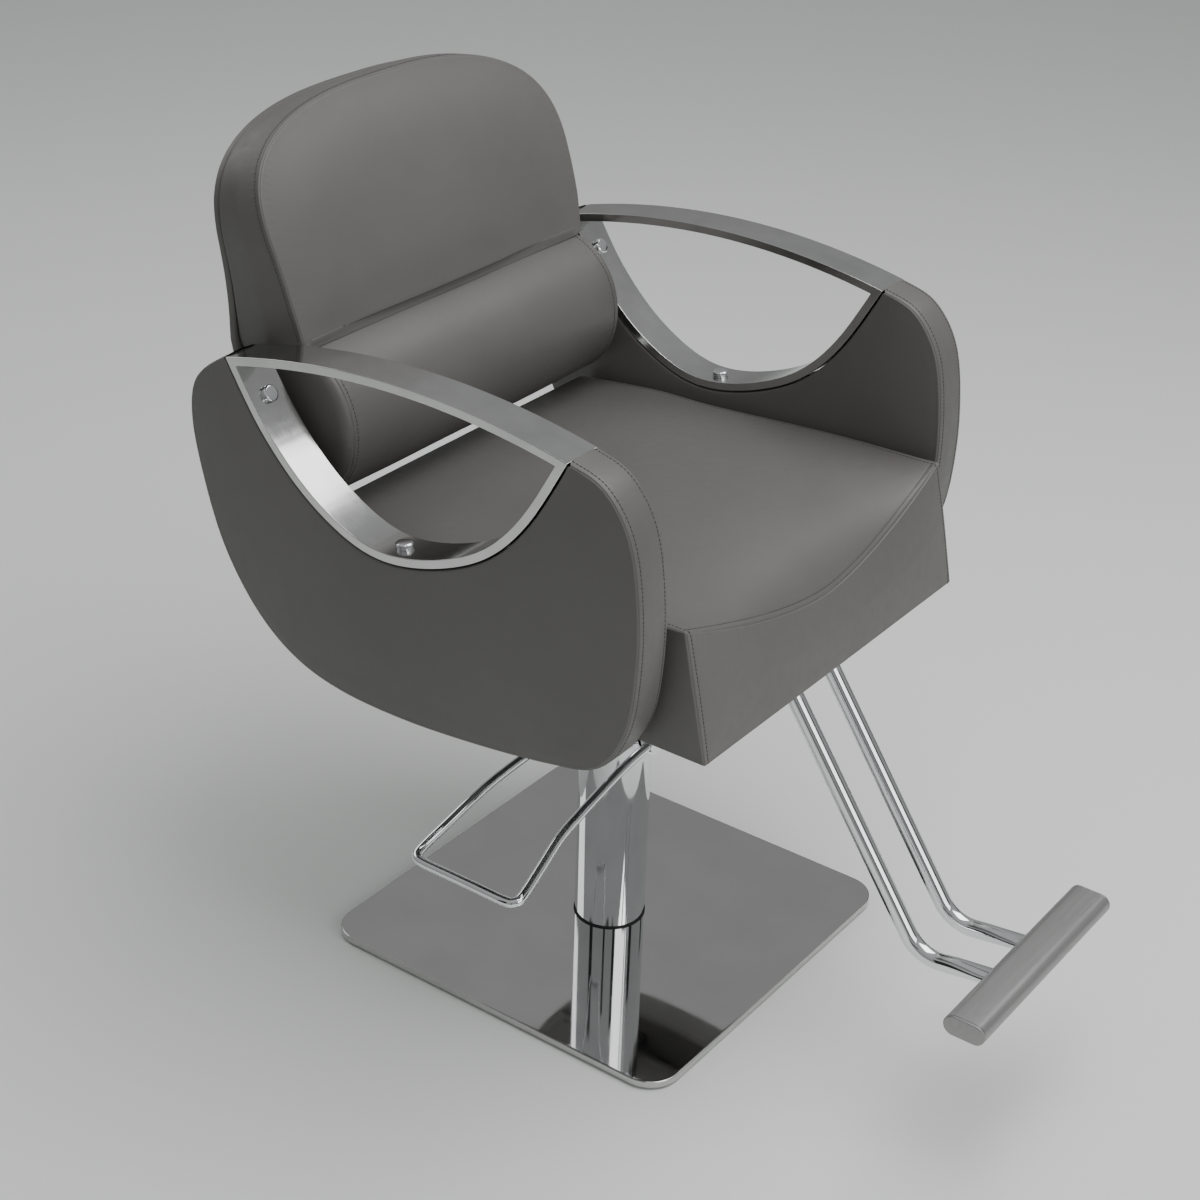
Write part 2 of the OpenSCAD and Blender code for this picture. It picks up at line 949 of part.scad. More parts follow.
module footrest_bar() {
    x = bar_hl - cap_t;
    color(STEEL)
        difference() {
            across(-x, x)
                translate(bar_c)
                    bar_section(0);
            across(-x - over, x + over)
                translate(bar_c)
                    bar_section(bar_wall);
            for (side = [-1, 1])
                rod([side * tube_x, tube_path[2][0], tube_path[2][1]],
                    [side * tube_x, tube_path[3][0], tube_path[3][1]], tube_r + 0.1);
        }
}

module footrest_caps() {
    color(STEEL)
        for (side = [-1, 1])
            flip(side) {
                across(bar_hl - cap_t, bar_hl)
                    translate(bar_c)
                        bar_section(0);
                across(bar_hl - cap_t - 8, bar_hl - cap_t)
                    translate(bar_c)
                        bar_section(bar_wall);
            }
}

module bar_screws() {
    color(STEEL)
        for (side = [-1, 1])
            translate([side * (bar_hl - 20), bar_c[0], bar_c[1] - bar_h / 2 - 2])
                cylinder(r = 4, h = 2);
}

module footrest_clamp() {
    color(STEEL)
        difference() {
            translate([-clamp_hx, clamp_y[0], seat_under - clamp_h])
                cube([2 * clamp_hx, clamp_y[1] - clamp_y[0], clamp_h]);
            for (side = [-1, 1])
                translate([side * tube_x, 0, tube_top_z])
                    rotate([90, 0, 0])
                        cylinder(r = tube_r, h = through, center = true);
            at_clamp_screws()
                cylinder(r = screw_r + hole_gap, h = through);
        }
}

module clamp_screws() {
    color(STEEL)
        at_clamp_screws()
            board_screw(seat_under - clamp_h);
}

// ---- Pedal ----

// Half of the pedal's centre line, from its hub to the middle of the cross bar
hub_y = (hub_y0 + hub_y1) / 2;
pedal_half = smooth([
    [-10, hub_y, pivot_z], [-60, hub_y + 1, pivot_z - 5], [-150, 61, pivot_z - 17],
    [-196, 64, pivot_z - 27], [-236, 69, pivot_z - 42], [-pedal_reach + 14, 74, pivot_z - pedal_drop + 5],
    [-pedal_reach + 3, 70, pivot_z - pedal_drop + 1], [-pedal_reach, 58, pivot_z - pedal_drop],
    [-pedal_reach, 20, pivot_z - pedal_drop]
], 5);
pedal_line = concat(pedal_half, reversed([for (p = pedal_half) [p[0], -p[1], p[2]]]));

module pedal_loop() {
    color(CHROME)
        sweep(pedal_line, rod_r, 16);
}

module pedal_shaft() {
    color(CHROME)
        translate([0, 0, pivot_z])
            rotate([90, 0, 0]) {
                cylinder(r = shaft_r, h = 2 * hub_y1, center = true);
                for (s = [-1, 1])
                    translate([0, 0, s * hub_y])
                        cylinder(r = hub_r, h = hub_y1 - hub_y0, center = true);
            }
}

module rocker() {
    color(IRON)
        translate([0, 0, pivot_z])
            rotate([90, 0, 0])
                difference() {
                    union() {
                        cylinder(r = crank_hub_r, h = 2 * crank_hw, center = true);
                        translate([crank / 2, 0, 0])
                            cube([crank, 2 * crank_tip_r, 2 * crank_hw - 4], center = true);
                        translate([crank, 0, 0])
                            cylinder(r = crank_tip_r, h = 2 * crank_hw - 4, center = true);
                    }
                    cylinder(r = shaft_r, h = 4 * crank_hw, center = true);
                }
}

module plunger() {
    color(STEEL)
        translate([crank, 0, plunger_foot])
            cylinder(r = plunger_r, h = plunger_h);
}

base_pads();
ballast_plate();
base_cover();
post_foot();
post_bolts();
post_tube();
post_gland();
upper_bush();
bump_ring();
ram_rod();
ram_piston();
piston_seal();
thrust_bearing();
sleeve();
lower_bush();
pump_body();
pump_spring();
mount_plate();
mount_bolts();
seat_rails();
seat_screws();
seat_board();
dust_cover();
seat_cushion();
arm_core(-1);  // arm_core_right
arm_core(1);  // arm_core_left
arm_outer_pad(-1);  // arm_outer_pad_right
arm_outer_pad(1);  // arm_outer_pad_left
arm_inner_pad(-1);  // arm_inner_pad_right
arm_inner_pad(1);  // arm_inner_pad_left
arm_boxing(-1);  // arm_boxing_right
arm_boxing(1);  // arm_boxing_left
arm_band(-1);  // arm_band_right
arm_band(1);  // arm_band_left
band_screws(-1);  // band_screws_right
band_screws(1);  // band_screws_left
arm_bolts();
back_rail();
back_bolts();
back_board();
back_cushion();
back_cover();
lumbar_roll();
footrest_clamp();
clamp_screws();
footrest_tube(-1);  // footrest_tube_right
footrest_tube(1);  // footrest_tube_left
footrest_bar();
footrest_caps();
bar_screws();
pedal_loop();
pedal_shaft();
rocker();
plunger();
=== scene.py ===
# %% [markdown]
# # A hydraulic styling chair
# The chair is a mirror-polished base plate, a chromed lifting column with a foot pedal, an upholstered
# seat between two upholstered arms with steel armrest bands, a lumbar roll, a bent back and a footrest.
# The mechanical design is loaded first and never moved. Everything modelled here is built in metres in
# that same frame: +Z up, the chair's front faces -Y, and the origin is on the floor under the column.

# %% Load the design
import math
import bmesh
import bpy
import numpy as np
from mathutils import Matrix, Vector, kdtree, noise
from mathutils.bvhtree import BVHTree


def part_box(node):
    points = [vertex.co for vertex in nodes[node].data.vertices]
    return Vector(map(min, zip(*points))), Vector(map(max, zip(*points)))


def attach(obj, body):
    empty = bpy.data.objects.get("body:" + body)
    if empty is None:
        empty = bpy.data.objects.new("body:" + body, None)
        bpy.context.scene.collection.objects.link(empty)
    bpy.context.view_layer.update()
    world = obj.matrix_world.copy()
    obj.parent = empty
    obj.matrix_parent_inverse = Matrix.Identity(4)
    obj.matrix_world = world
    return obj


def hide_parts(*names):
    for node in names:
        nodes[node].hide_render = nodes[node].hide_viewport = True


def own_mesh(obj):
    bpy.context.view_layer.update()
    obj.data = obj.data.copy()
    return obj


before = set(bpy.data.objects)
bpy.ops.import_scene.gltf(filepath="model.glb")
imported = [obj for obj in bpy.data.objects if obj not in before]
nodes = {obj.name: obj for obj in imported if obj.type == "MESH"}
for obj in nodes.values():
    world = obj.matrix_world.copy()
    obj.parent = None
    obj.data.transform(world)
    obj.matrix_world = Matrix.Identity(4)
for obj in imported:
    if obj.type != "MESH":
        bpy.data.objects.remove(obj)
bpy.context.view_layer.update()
mm = 0.001

# %% [markdown]
# ## Camera, floor and light
# The camera looks down at the chair from its front right corner, with a long lens so that the base and
# the back keep their proportions. A camera can be aimed with a constraint, but here its three axes are
# worked out from azimuth, elevation and roll, because that gives the same view each time.

# %% Camera
CAMERA_AT = (-1.98222, -1.37363, 1.77028)
AZIMUTH, ELEVATION, ROLL = (math.radians(a) for a in (-54.687, 28.6445, 1.9627))
LENS = 70.335


def camera_axes(azimuth, elevation, roll):
    """The camera's right, up and backward directions."""
    flat = math.cos(elevation)
    back = Vector((math.sin(azimuth) * flat, -math.cos(azimuth) * flat, math.sin(elevation)))
    right = (-back).cross(Vector((0, 0, 1))).normalized()
    up = right.cross(-back)
    rolled_right = right * math.cos(roll) + up * math.sin(roll)
    rolled_up = up * math.cos(roll) - right * math.sin(roll)
    return rolled_right, rolled_up, back


camera = bpy.data.objects.new("camera", bpy.data.cameras.new("camera"))
bpy.context.scene.collection.objects.link(camera)
camera.data.sensor_width = 36
camera.data.lens = LENS
axes = Matrix(camera_axes(AZIMUTH, ELEVATION, ROLL)).transposed()
camera.matrix_world = Matrix.Translation(CAMERA_AT) @ axes.to_4x4()
bpy.context.scene.camera = camera

# %% [markdown]
# The floor is a plain pale sheet. The room is one big soft ceiling light, a weaker one from the front and
# an even sky. Chrome only looks like chrome when it has something dark to mirror, so a few dark cards
# stand round the chair, as they would in a studio: reflections see them and nothing else does.

# %% Floor and lights
FLOOR_HALF = 12
LIGHTS = [
    # name, place, where it points, size, power
    ("ceiling", (0.5, -0.9, 3.2), (0, 0, 0.4), (3.2, 2.4), 94),
    ("front", (-0.9, -3.0, 1.5), (0, 0, 0.5), (2.0, 1.6), 24),
    ("rear", (0.0, 3.0, 2.4), (0, 0, 0.6), (1.8, 1.4), 14),
]
CARDS = [
    # name, place, where it faces, size
    ("card_left", (-2.6, 0.9, 0.6), (0, 0, 0.5), (0.5, 2.2)),
    ("card_front", (0.7, -2.6, 0.5), (0, 0, 0.4), (0.45, 2.0)),
    ("card_right", (2.4, -1.0, 0.5), (0, 0, 0.4), (0.4, 2.0)),
    ("card_rear", (0.2, 2.8, 0.5), (0, 0, 0.4), (0.5, 2.0)),
    ("card_near", (-1.9, -2.3, 0.6), (0, 0, 0.5), (0.35, 2.2)),
    ("card_side", (-3.0, -1.2, 0.6), (0, 0, 0.5), (0.3, 2.2)),
]


def aimed(place, target):
    """A matrix at place whose -Z looks at target."""
    turn = (Vector(target) - Vector(place)).to_track_quat("-Z", "Y")
    return Matrix.Translation(place) @ turn.to_matrix().to_4x4()


def plain_finish(name, colour, roughness):
    """A finish for things that are not part of the chair."""
    made = bpy.data.materials.new(name)
    made.use_nodes = True
    shader = made.node_tree.nodes["Principled BSDF"]
    shader.inputs["Base Color"].default_value = (*colour, 1)
    shader.inputs["Roughness"].default_value = roughness
    return made


def flat_card(name, width, height, finish):
    """A rectangle in its own XY plane."""
    data = bpy.data.meshes.new(name)
    x, y = width / 2, height / 2
    data.from_pydata([(-x, -y, 0), (x, -y, 0), (x, y, 0), (-x, y, 0)], [], [(0, 1, 2, 3)])
    data.materials.append(finish)
    made = bpy.data.objects.new(name, data)
    bpy.context.scene.collection.objects.link(made)
    return made


pale = plain_finish("pale_floor", (0.80, 0.82, 0.80), 0.55)
floor = flat_card("floor", 2 * FLOOR_HALF, 2 * FLOOR_HALF, pale)
for name, place, target, (width, height) in CARDS:
    card = flat_card(name, width, height, plain_finish(name, (0.01, 0.01, 0.01), 0.9))
    card.matrix_world = aimed(place, target)
    card.visible_camera = False
    card.visible_diffuse = False
    card.visible_shadow = False
for name, place, target, (width, height), power in LIGHTS:
    lamp = bpy.data.lights.new(name, "AREA")
    lamp.shape = "RECTANGLE"
    lamp.size, lamp.size_y = width, height
    lamp.energy = power
    shown = bpy.data.objects.new(name, lamp)
    bpy.context.scene.collection.objects.link(shown)
    shown.matrix_world = aimed(place, target)

world = bpy.data.worlds.new("room")
bpy.context.scene.world = world
world.use_nodes = True
room = world.node_tree
background = room.nodes["Background"]
height_ramp = room.nodes.new("ShaderNodeValToRGB")
split = room.nodes.new("ShaderNodeSeparateXYZ")
where = room.nodes.new("ShaderNodeTexCoord")
room.links.new(where.outputs["Generated"], split.inputs[0])
room.links.new(split.outputs["Z"], height_ramp.inputs["Fac"])
room.links.new(height_ramp.outputs["Color"], background.inputs["Color"])
height_ramp.color_ramp.elements[0].color = (0.42, 0.43, 0.42, 1)
height_ramp.color_ramp.elements[1].color = (0.80, 0.82, 0.82, 1)
background.inputs["Strength"].default_value = 0.55
print("lights:", [row[0] for row in LIGHTS], "cards:", [row[0] for row in CARDS])

# %% [markdown]
# ## Finishes
# Every finish is built from noise, so that nothing has one flat colour. Each one takes its place from the
# object's own coordinates, in metres, so a grain size is simply one over its width in metres. A small
# helper keeps the node trees short: it makes a node, sets its values and links its inputs by name.


# %% Finish helpers
class Finish:
    """A material with a Principled shader and short calls for adding nodes."""

    def __init__(self, name, colour, roughness, metallic=0.0):
        self.material = bpy.data.materials.new(name)
        self.material.use_nodes = True
        self.tree = self.material.node_tree
        self.shader = self.tree.nodes["Principled BSDF"]
        self.shader.inputs["Base Color"].default_value = (*colour, 1)
        self.shader.inputs["Roughness"].default_value = roughness
        self.shader.inputs["Metallic"].default_value = metallic
        self.material.diffuse_color = (*colour, 1)
        self.place = self.tree.nodes.new("ShaderNodeTexCoord").outputs["Object"]

    def add(self, kind, links=(), **values):
        made = self.tree.nodes.new(kind)
        for key, value in values.items():
            if key in made.inputs:
                made.inputs[key].default_value = value
            else:
                setattr(made, key, value)
        for key, source in dict(links).items():
            self.tree.links.new(source, made.inputs[key])
        return made

    def grain(self, size, detail=2.0, stretch=(1, 1, 1)):
        """Noise whose features are size metres wide, longer along the directions with a small stretch."""
        scaled = self.add("ShaderNodeMapping", {"Vector": self.place}, Scale=stretch)
        made = self.add("ShaderNodeTexNoise", {"Vector": scaled.outputs[0]}, Scale=1 / size, Detail=detail)
        return made.outputs["Fac"]

    def pebbles(self, size):
        """Rounded cells size metres wide, as in embossed vinyl or cast metal."""
        made = self.add("ShaderNodeTexVoronoi", {"Vector": self.place}, Scale=1 / size)
        return made.outputs["Distance"]

    def ranged(self, source, low, high, start=0.3, end=0.7):
        """Turns noise into a value from low to high."""
        made = self.add("ShaderNodeMapRange", {"Value": source})
        for key, value in zip(("From Min", "From Max", "To Min", "To Max"), (start, end, low, high)):
            made.inputs[key].default_value = value
        return made.outputs[0]

    def tint(self, source, dark, light):
        """Colour that wanders between two tones."""
        ramp = self.add("ShaderNodeValToRGB", {"Fac": source})
        ramp.color_ramp.elements[0].position = 0.3
        ramp.color_ramp.elements[1].position = 0.7
        ramp.color_ramp.elements[0].color = (*dark, 1)
        ramp.color_ramp.elements[1].color = (*light, 1)
        self.tree.links.new(ramp.outputs["Color"], self.shader.inputs["Base Color"])

    def rough(self, source):
        self.tree.links.new(source, self.shader.inputs["Roughness"])

    def bump(self, source, depth, strength=1.0, after=None):
        """Relief depth metres deep; after is a relief that lies under it."""
        links = {"Height": source}
        if after is not None:
            links["Normal"] = after
        made = self.add("ShaderNodeBump", links, Distance=depth, Strength=strength)
        self.tree.links.new(made.outputs[0], self.shader.inputs["Normal"])
        return made.outputs[0]


def shades(colour, spread):
    """A darker and a lighter neighbour of a colour."""
    return [c * (1 - spread) for c in colour], [c * (1 + spread) for c in colour]


# %% [markdown]
# ### Upholstery vinyl and its thread
# The cover is smooth coated vinyl: a warm grey with a very fine pebble embossed in it and a soft sheen.
# The pebble is a cell pattern under a millimetre wide, cut only a few hundredths of a millimetre deep;
# a slow noise changes tone and gloss a little, as handling does. The thread is duller and darker.

# %% Vinyl and thread
VINYL_COLOUR = (0.110, 0.105, 0.101)
THREAD_COLOUR = (0.050, 0.046, 0.044)


def make_vinyl():
    f = Finish("vinyl_upholstery", VINYL_COLOUR, 0.45)
    slow = f.grain(0.16, detail=3)
    f.tint(slow, *shades(VINYL_COLOUR, 0.05))
    f.rough(f.ranged(f.grain(0.012, detail=4), 0.40, 0.50))
    cells = f.bump(f.pebbles(0.9 * mm), 0.05 * mm, 0.55)
    f.bump(f.grain(0.35 * mm, detail=3), 0.03 * mm, 0.5, after=cells)
    f.shader.inputs["Specular IOR Level"].default_value = 0.42
    return f.material


def make_thread():
    f = Finish("seam_thread", THREAD_COLOUR, 0.6)
    f.tint(f.grain(0.5 * mm), *shades(THREAD_COLOUR, 0.25))
    f.rough(f.ranged(f.grain(0.4 * mm), 0.5, 0.75))
    f.bump(f.grain(0.25 * mm), 0.06 * mm, 0.6)
    return f.material


vinyl = make_vinyl()
thread = make_thread()
print("made", vinyl.name, "and", thread.name)

# %% [markdown]
# ### Bright metals
# Three bright finishes: mirror chrome on the column, pedal, footrest tubes and screws, polished stainless
# sheet on the base, and brushed stainless on the armrest bands. They differ mostly in roughness. Brushing
# is noise stretched far along the direction of the belt, so its scratches run along the band. Chrome gets
# faint smudges, which change only its roughness.


# %% Bright metals
def make_chrome():
    f = Finish("mirror_chrome", (0.80, 0.81, 0.83), 0.05, 1)
    f.tint(f.grain(0.05, detail=3), (0.77, 0.78, 0.80), (0.83, 0.84, 0.86))
    f.rough(f.ranged(f.grain(0.03, detail=5), 0.03, 0.09))
    f.bump(f.grain(0.02, detail=2), 0.05 * mm, 0.15)
    return f.material


def make_polished_sheet():
    f = Finish("polished_stainless", (0.54, 0.54, 0.535), 0.04, 1)
    f.tint(f.grain(0.09, detail=4), (0.52, 0.515, 0.51), (0.56, 0.555, 0.55))
    f.rough(f.ranged(f.grain(0.025, detail=6), 0.025, 0.06))
    f.bump(f.grain(0.06, detail=2), 0.06 * mm, 0.10)
    return f.material


def make_brushed():
    f = Finish("brushed_stainless", (0.60, 0.60, 0.60), 0.2, 1)
    f.tint(f.grain(0.04, detail=4), (0.56, 0.56, 0.555), (0.64, 0.64, 0.635))
    lines = f.grain(0.5 * mm, detail=3, stretch=(1, 0.02, 0.02))
    f.rough(f.ranged(lines, 0.10, 0.18))
    f.bump(lines, 0.012 * mm, 0.5)
    return f.material


chrome = make_chrome()
polished = make_polished_sheet()
brushed = make_brushed()
print("made", chrome.name, polished.name, brushed.name)

# %% [markdown]
# ### Everything else
# The plain working materials differ in colour, gloss and grain only, so one recipe makes them all: a tone
# that wanders, a roughness that wanders and a relief. Plywood and woven dust cloth get a relief that is
# stretched along one axis, which reads as wood grain and as weave.

# %% Working materials
WORKING = {
    # name: colour, tone spread, roughness from and to, metallic, grain size, relief depth, stretch
    "grey_alloy": ((0.300, 0.298, 0.296), 0.06, (0.34, 0.46), 0.7, 0.5 * mm, 0.02 * mm, (0.05, 1, 1)),
    "zinc_steel": ((0.42, 0.43, 0.44), 0.10, (0.28, 0.45), 1.0, 6 * mm, 0.05 * mm, (1, 1, 1)),
    "black_steel": ((0.022, 0.022, 0.023), 0.20, (0.38, 0.55), 0.0, 0.8 * mm, 0.06 * mm, (1, 1, 1)),
    "black_rubber": ((0.020, 0.020, 0.020), 0.25, (0.62, 0.80), 0.0, 0.6 * mm, 0.08 * mm, (1, 1, 1)),
    "oiled_bronze": ((0.42, 0.25, 0.10), 0.12, (0.22, 0.36), 1.0, 1.5 * mm, 0.03 * mm, (1, 1, 0.2)),
    "cast_iron": ((0.10, 0.10, 0.105), 0.15, (0.50, 0.68), 0.7, 1.2 * mm, 0.15 * mm, (1, 1, 1)),
    "birch_plywood": ((0.46, 0.31, 0.17), 0.18, (0.50, 0.66), 0.0, 2 * mm, 0.12 * mm, (0.08, 1, 1)),
    "dust_cloth": ((0.016, 0.016, 0.017), 0.30, (0.85, 0.95), 0.0, 0.7 * mm, 0.20 * mm, (1, 0.25, 1)),
}


def make_working(name):
    colour, spread, gloss, metallic, size, depth, stretch = WORKING[name]
    f = Finish(name, colour, sum(gloss) / 2, metallic)
    f.tint(f.grain(12 * size, detail=4, stretch=stretch), *shades(colour, spread))
    f.rough(f.ranged(f.grain(5 * size, detail=4), *gloss))
    f.bump(f.grain(size, detail=3, stretch=stretch), depth, 0.6)
    return f.material


working = {name: make_working(name) for name in WORKING}
print("made", ", ".join(working))

# %% [markdown]
# ## Finishes on the design's own nodes
# Pieces whose shape is right as designed keep it and only get their finish. The table names the finish
# of every such node; nodes that are rebuilt below are left out.

# %% Finish the carried-over nodes
NODE_FINISH = {
    "black_rubber": ["base_pads", "bump_ring", "piston_seal"],
    "zinc_steel": ["ballast_plate", "post_foot", "post_bolts", "thrust_bearing", "pump_spring",
                   "mount_bolts", "seat_screws", "arm_bolts", "back_bolts", "clamp_screws", "bar_screws"],
    "black_steel": ["mount_plate", "seat_rails", "back_rail", "footrest_clamp"],
    "oiled_bronze": ["post_gland", "upper_bush", "lower_bush"],
    "cast_iron": ["ram_piston", "pump_body", "rocker"],
    "birch_plywood": ["seat_board", "back_board", "arm_core_right", "arm_core_left"],
    "dust_cloth": ["dust_cover"],
}
CHROMED_NODES = ["post_tube", "ram_rod", "pedal_shaft", "plunger"]


def dress(node, finish):
    node.data.materials.clear()
    node.data.materials.append(finish)


for finish_name, members in NODE_FINISH.items():
    for member in members:
        dress(nodes[member], working[finish_name])
for member in CHROMED_NODES:
    dress(nodes[member], chrome)
print("dressed", sum(map(len, NODE_FINISH.values())) + len(CHROMED_NODES), "nodes")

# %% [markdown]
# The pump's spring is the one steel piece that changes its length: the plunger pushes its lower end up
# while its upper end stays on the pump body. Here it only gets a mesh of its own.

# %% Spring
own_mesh(nodes["pump_spring"])

# %% [markdown]
# ## Tools for lines and skins
# Almost every piece starts as a line: the edge of an arm, the profile of the seat, the route of a tube.
# A Catmull-Rom curve passes through a few chosen points, and `even` spaces points along it by length.
# Meshes are made from grids of points whose shared borders are welded, because a grid keeps its rows
# along the seams, where a remeshed shape would lose them.


# %% Lines
def smooth(points, steps=6):
    """A curve through the points, with a number of steps between neighbours."""
    p = np.array(points, float)
    m = len(p) - 1
    line = []
    for i in range(m):
        a, b, c, d = p[max(i - 1, 0)], p[i], p[i + 1], p[min(i + 2, m)]
        for t in np.arange(steps) / steps:
            line.append(0.5 * (2 * b + (c - a) * t + (2 * a - 5 * b + 4 * c - d) * t**2
                               + (3 * b - a - 3 * c + d) * t**3))
    line.append(p[m])
    return np.array(line)


def travelled(line):
    """Distance along a line at each of its points."""
    steps = np.linalg.norm(np.diff(line, axis=0), axis=1)
    return np.concatenate([[0], np.cumsum(steps)])


def along(line, distances):
    """Points of a line at the given distances."""
    run = travelled(line)
    return np.stack([np.interp(distances, run, line[:, k]) for k in range(line.shape[1])], axis=1)


def even(line, count):
    return along(line, np.linspace(0, travelled(line)[-1], count))


def graded(length, fine=1.3 * mm, coarse=7 * mm, growth=1.15):
    """Shares from 0 to 1 of a length, close together at both ends; the last step isn't left too short."""
    steps = [0.0]
    step = fine
    while steps[-1] + step < length / 2:
        steps.append(steps[-1] + step)
        step = min(step * growth, coarse)
    half = np.array(steps) / length
    if 0.5 - half[-1] <= 0.2 * fine / length:
        half = half[:-1]
    return np.concatenate([half, [0.5], 1 - half[::-1]])


def directions(line, closed=False):
    """The unit direction at each point of a line."""
    if closed:
        d = np.roll(line, -1, axis=0) - np.roll(line, 1, axis=0)
    else:
        d = np.gradient(line, axis=0)
    return d / np.maximum(np.linalg.norm(d, axis=1, keepdims=True), 1e-9)


def leftward(line, closed=False):
    """For a flat line, the unit direction to its left at each point."""
    d = directions(line, closed)
    return np.stack([-d[:, 1], d[:, 0]], axis=1)


# %% Skins
WELD = 0.02 * mm


def skin(name, grids, finish, sharp_angle=None):
    """One object from grids of points, its shared borders welded and its normals outward."""
    bm = bmesh.new()
    for grid in grids:
        rows = [[bm.verts.new(point) for point in row] for row in grid]
        for a, b in zip(rows, rows[1:]):
            for j in range(len(a) - 1):
                bm.faces.new((a[j], a[j + 1], b[j + 1], b[j]))
    bmesh.ops.remove_doubles(bm, verts=bm.verts, dist=WELD)
    bmesh.ops.recalc_face_normals(bm, faces=bm.faces)
    data = bpy.data.meshes.new(name)
    bm.to_mesh(data)
    bm.free()
    data.materials.append(finish)
    data.shade_smooth()
    if sharp_angle is not None:
        data.set_sharp_from_angle(angle=math.radians(sharp_angle))
    made = bpy.data.objects.new(name, data)
    bpy.context.scene.collection.objects.link(made)
    return made


def places(piece):
    flat = np.empty(len(piece.data.vertices) * 3, np.float32)
    piece.data.vertices.foreach_get("co", flat)
    return flat.reshape(-1, 3).astype(float)


def put(piece, points):
    piece.data.vertices.foreach_set("co", points.astype(np.float32).ravel())
    piece.data.update()


def normals(piece):
    flat = np.empty(len(piece.data.vertices) * 3, np.float32)
    piece.data.vertex_normals.foreach_get("vector", flat)
    return flat.reshape(-1, 3).astype(float)


def fasten(piece, body, replaced=()):
    """The piece rides on a body and hides the design nodes that it stands for."""
    if replaced:
        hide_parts(*replaced)
    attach(piece, body)
    return piece


# %% [markdown]
# ## Tools for upholstery
# Upholstery is stretched over foam, so it swells a little between its seams, pulls in at them and puckers
# along the stitches. Four steps make that. The skin's edges are softened, a cloth simulation with the
# seams held blows the panels up a few millimetres, a groove is pressed in along each seam, and a slow
# noise keeps large panels from looking machined. Blowing up the real mesh instead of a remeshed copy
# keeps the rows beside each seam.


# %% Upholstery steps
SEAM_DEPTH, SEAM_WIDTH = 1.8 * mm, 1.15 * mm
STITCH_DEPTH, STITCH_WIDTH = 0.35 * mm, 1.3 * mm
PUCKER, PUCKER_PITCH = 0.12 * mm, 9.2 * mm
STITCH_ASIDE = 7 * mm


def seam_distance(piece, seams, spacing=1.5 * mm):
    """Distance from each vertex to the nearest seam, and how far along that seam it is."""
    points = []
    marks = []
    for seam in seams:
        run = travelled(seam)[-1]
        count = max(2, int(run / spacing))
        points.append(even(seam, count))
        marks.append(np.linspace(0, run, count))
    points, marks = np.concatenate(points), np.concatenate(marks)
    tree = kdtree.KDTree(len(points))
    for i, point in enumerate(points):
        tree.insert(point, i)
    tree.balance()
    found = [tree.find(v.co) for v in piece.data.vertices]
    return np.array([f[2] for f in found]), marks[[f[1] for f in found]]


def neighbour_mean(piece, values):
    """The mean of each vertex's neighbours' values."""
    pairs = np.empty(len(piece.data.edges) * 2, np.int32)
    piece.data.edges.foreach_get("vertices", pairs)
    a, b = pairs.reshape(-1, 2).T
    total = np.zeros_like(values)
    count = np.zeros(len(values))
    for here, there in ((a, b), (b, a)):
        np.add.at(total, here, values[there])
        np.add.at(count, here, 1)
    return total / np.maximum(count, 1)[:, None]


def soften(piece, distance, reach, times):
    """Rounds the piece where it is within reach of a seam."""
    share = np.clip(1 - distance / reach, 0, 1)[:, None] * 0.6
    for _ in range(times):
        here = places(piece)
        put(piece, here + (neighbour_mean(piece, here) - here) * share)


def swell(piece, distance, pressure, cap, frames=20):
    """Blows the piece up as cloth, with its seams held, and limits how far a point moves."""
    start = places(piece)
    held = piece.vertex_groups.new(name="held")
    for index, gap in enumerate(distance):
        held.add([index], float(np.clip(1 - gap / (5 * mm), 0, 1)), "REPLACE")
    cloth = piece.modifiers.new("cloth", "CLOTH")
    cloth.settings.quality = 5
    cloth.settings.mass = 0.25
    cloth.settings.tension_stiffness = 30
    cloth.settings.compression_stiffness = 30
    cloth.settings.shear_stiffness = 12
    cloth.settings.bending_stiffness = 4
    cloth.settings.air_damping = 4
    cloth.settings.use_pressure = True
    cloth.settings.uniform_pressure_force = pressure
    cloth.settings.vertex_group_mass = "held"
    cloth.settings.effector_weights.gravity = 0
    cloth.point_cache.frame_start = 1
    cloth.point_cache.frame_end = frames
    scene = bpy.context.scene
    for number in range(1, frames + 1):
        scene.frame_set(number)
    blown = piece.evaluated_get(bpy.context.evaluated_depsgraph_get())
    flat = np.empty(len(start) * 3, np.float32)
    blown.data.vertices.foreach_get("co", flat)
    moved = flat.reshape(-1, 3) - start
    piece.modifiers.remove(cloth)
    scene.frame_set(1)
    for _ in range(12):
        moved = 0.4 * moved + 0.6 * neighbour_mean(piece, moved)
    far = np.linalg.norm(moved, axis=1, keepdims=True)
    moved *= cap * np.tanh(far / cap) / np.maximum(far, 1e-9)
    moved *= np.clip(distance / (12 * mm), 0, 1)[:, None] ** 0.7
    put(piece, start + moved)
    print(piece.name, "swelled by up to", round(float(np.linalg.norm(moved, axis=1).max()) / mm, 1), "mm")


def press_seams(piece, seams, stitched):
    """Presses a groove along the seams, a faint one under the stitches and small puckers beside them."""
    distance, run = seam_distance(piece, seams)
    groove = SEAM_DEPTH * np.exp(-(distance / SEAM_WIDTH) ** 2)
    beside = np.exp(-((distance - 9 * mm) / (5 * mm)) ** 2)
    groove += PUCKER * beside * np.cos(2 * math.pi * run / PUCKER_PITCH)
    if stitched:
        groove += STITCH_DEPTH * np.exp(-(seam_distance(piece, stitched)[0] / STITCH_WIDTH) ** 2)
    put(piece, places(piece) - normals(piece) * groove[:, None])


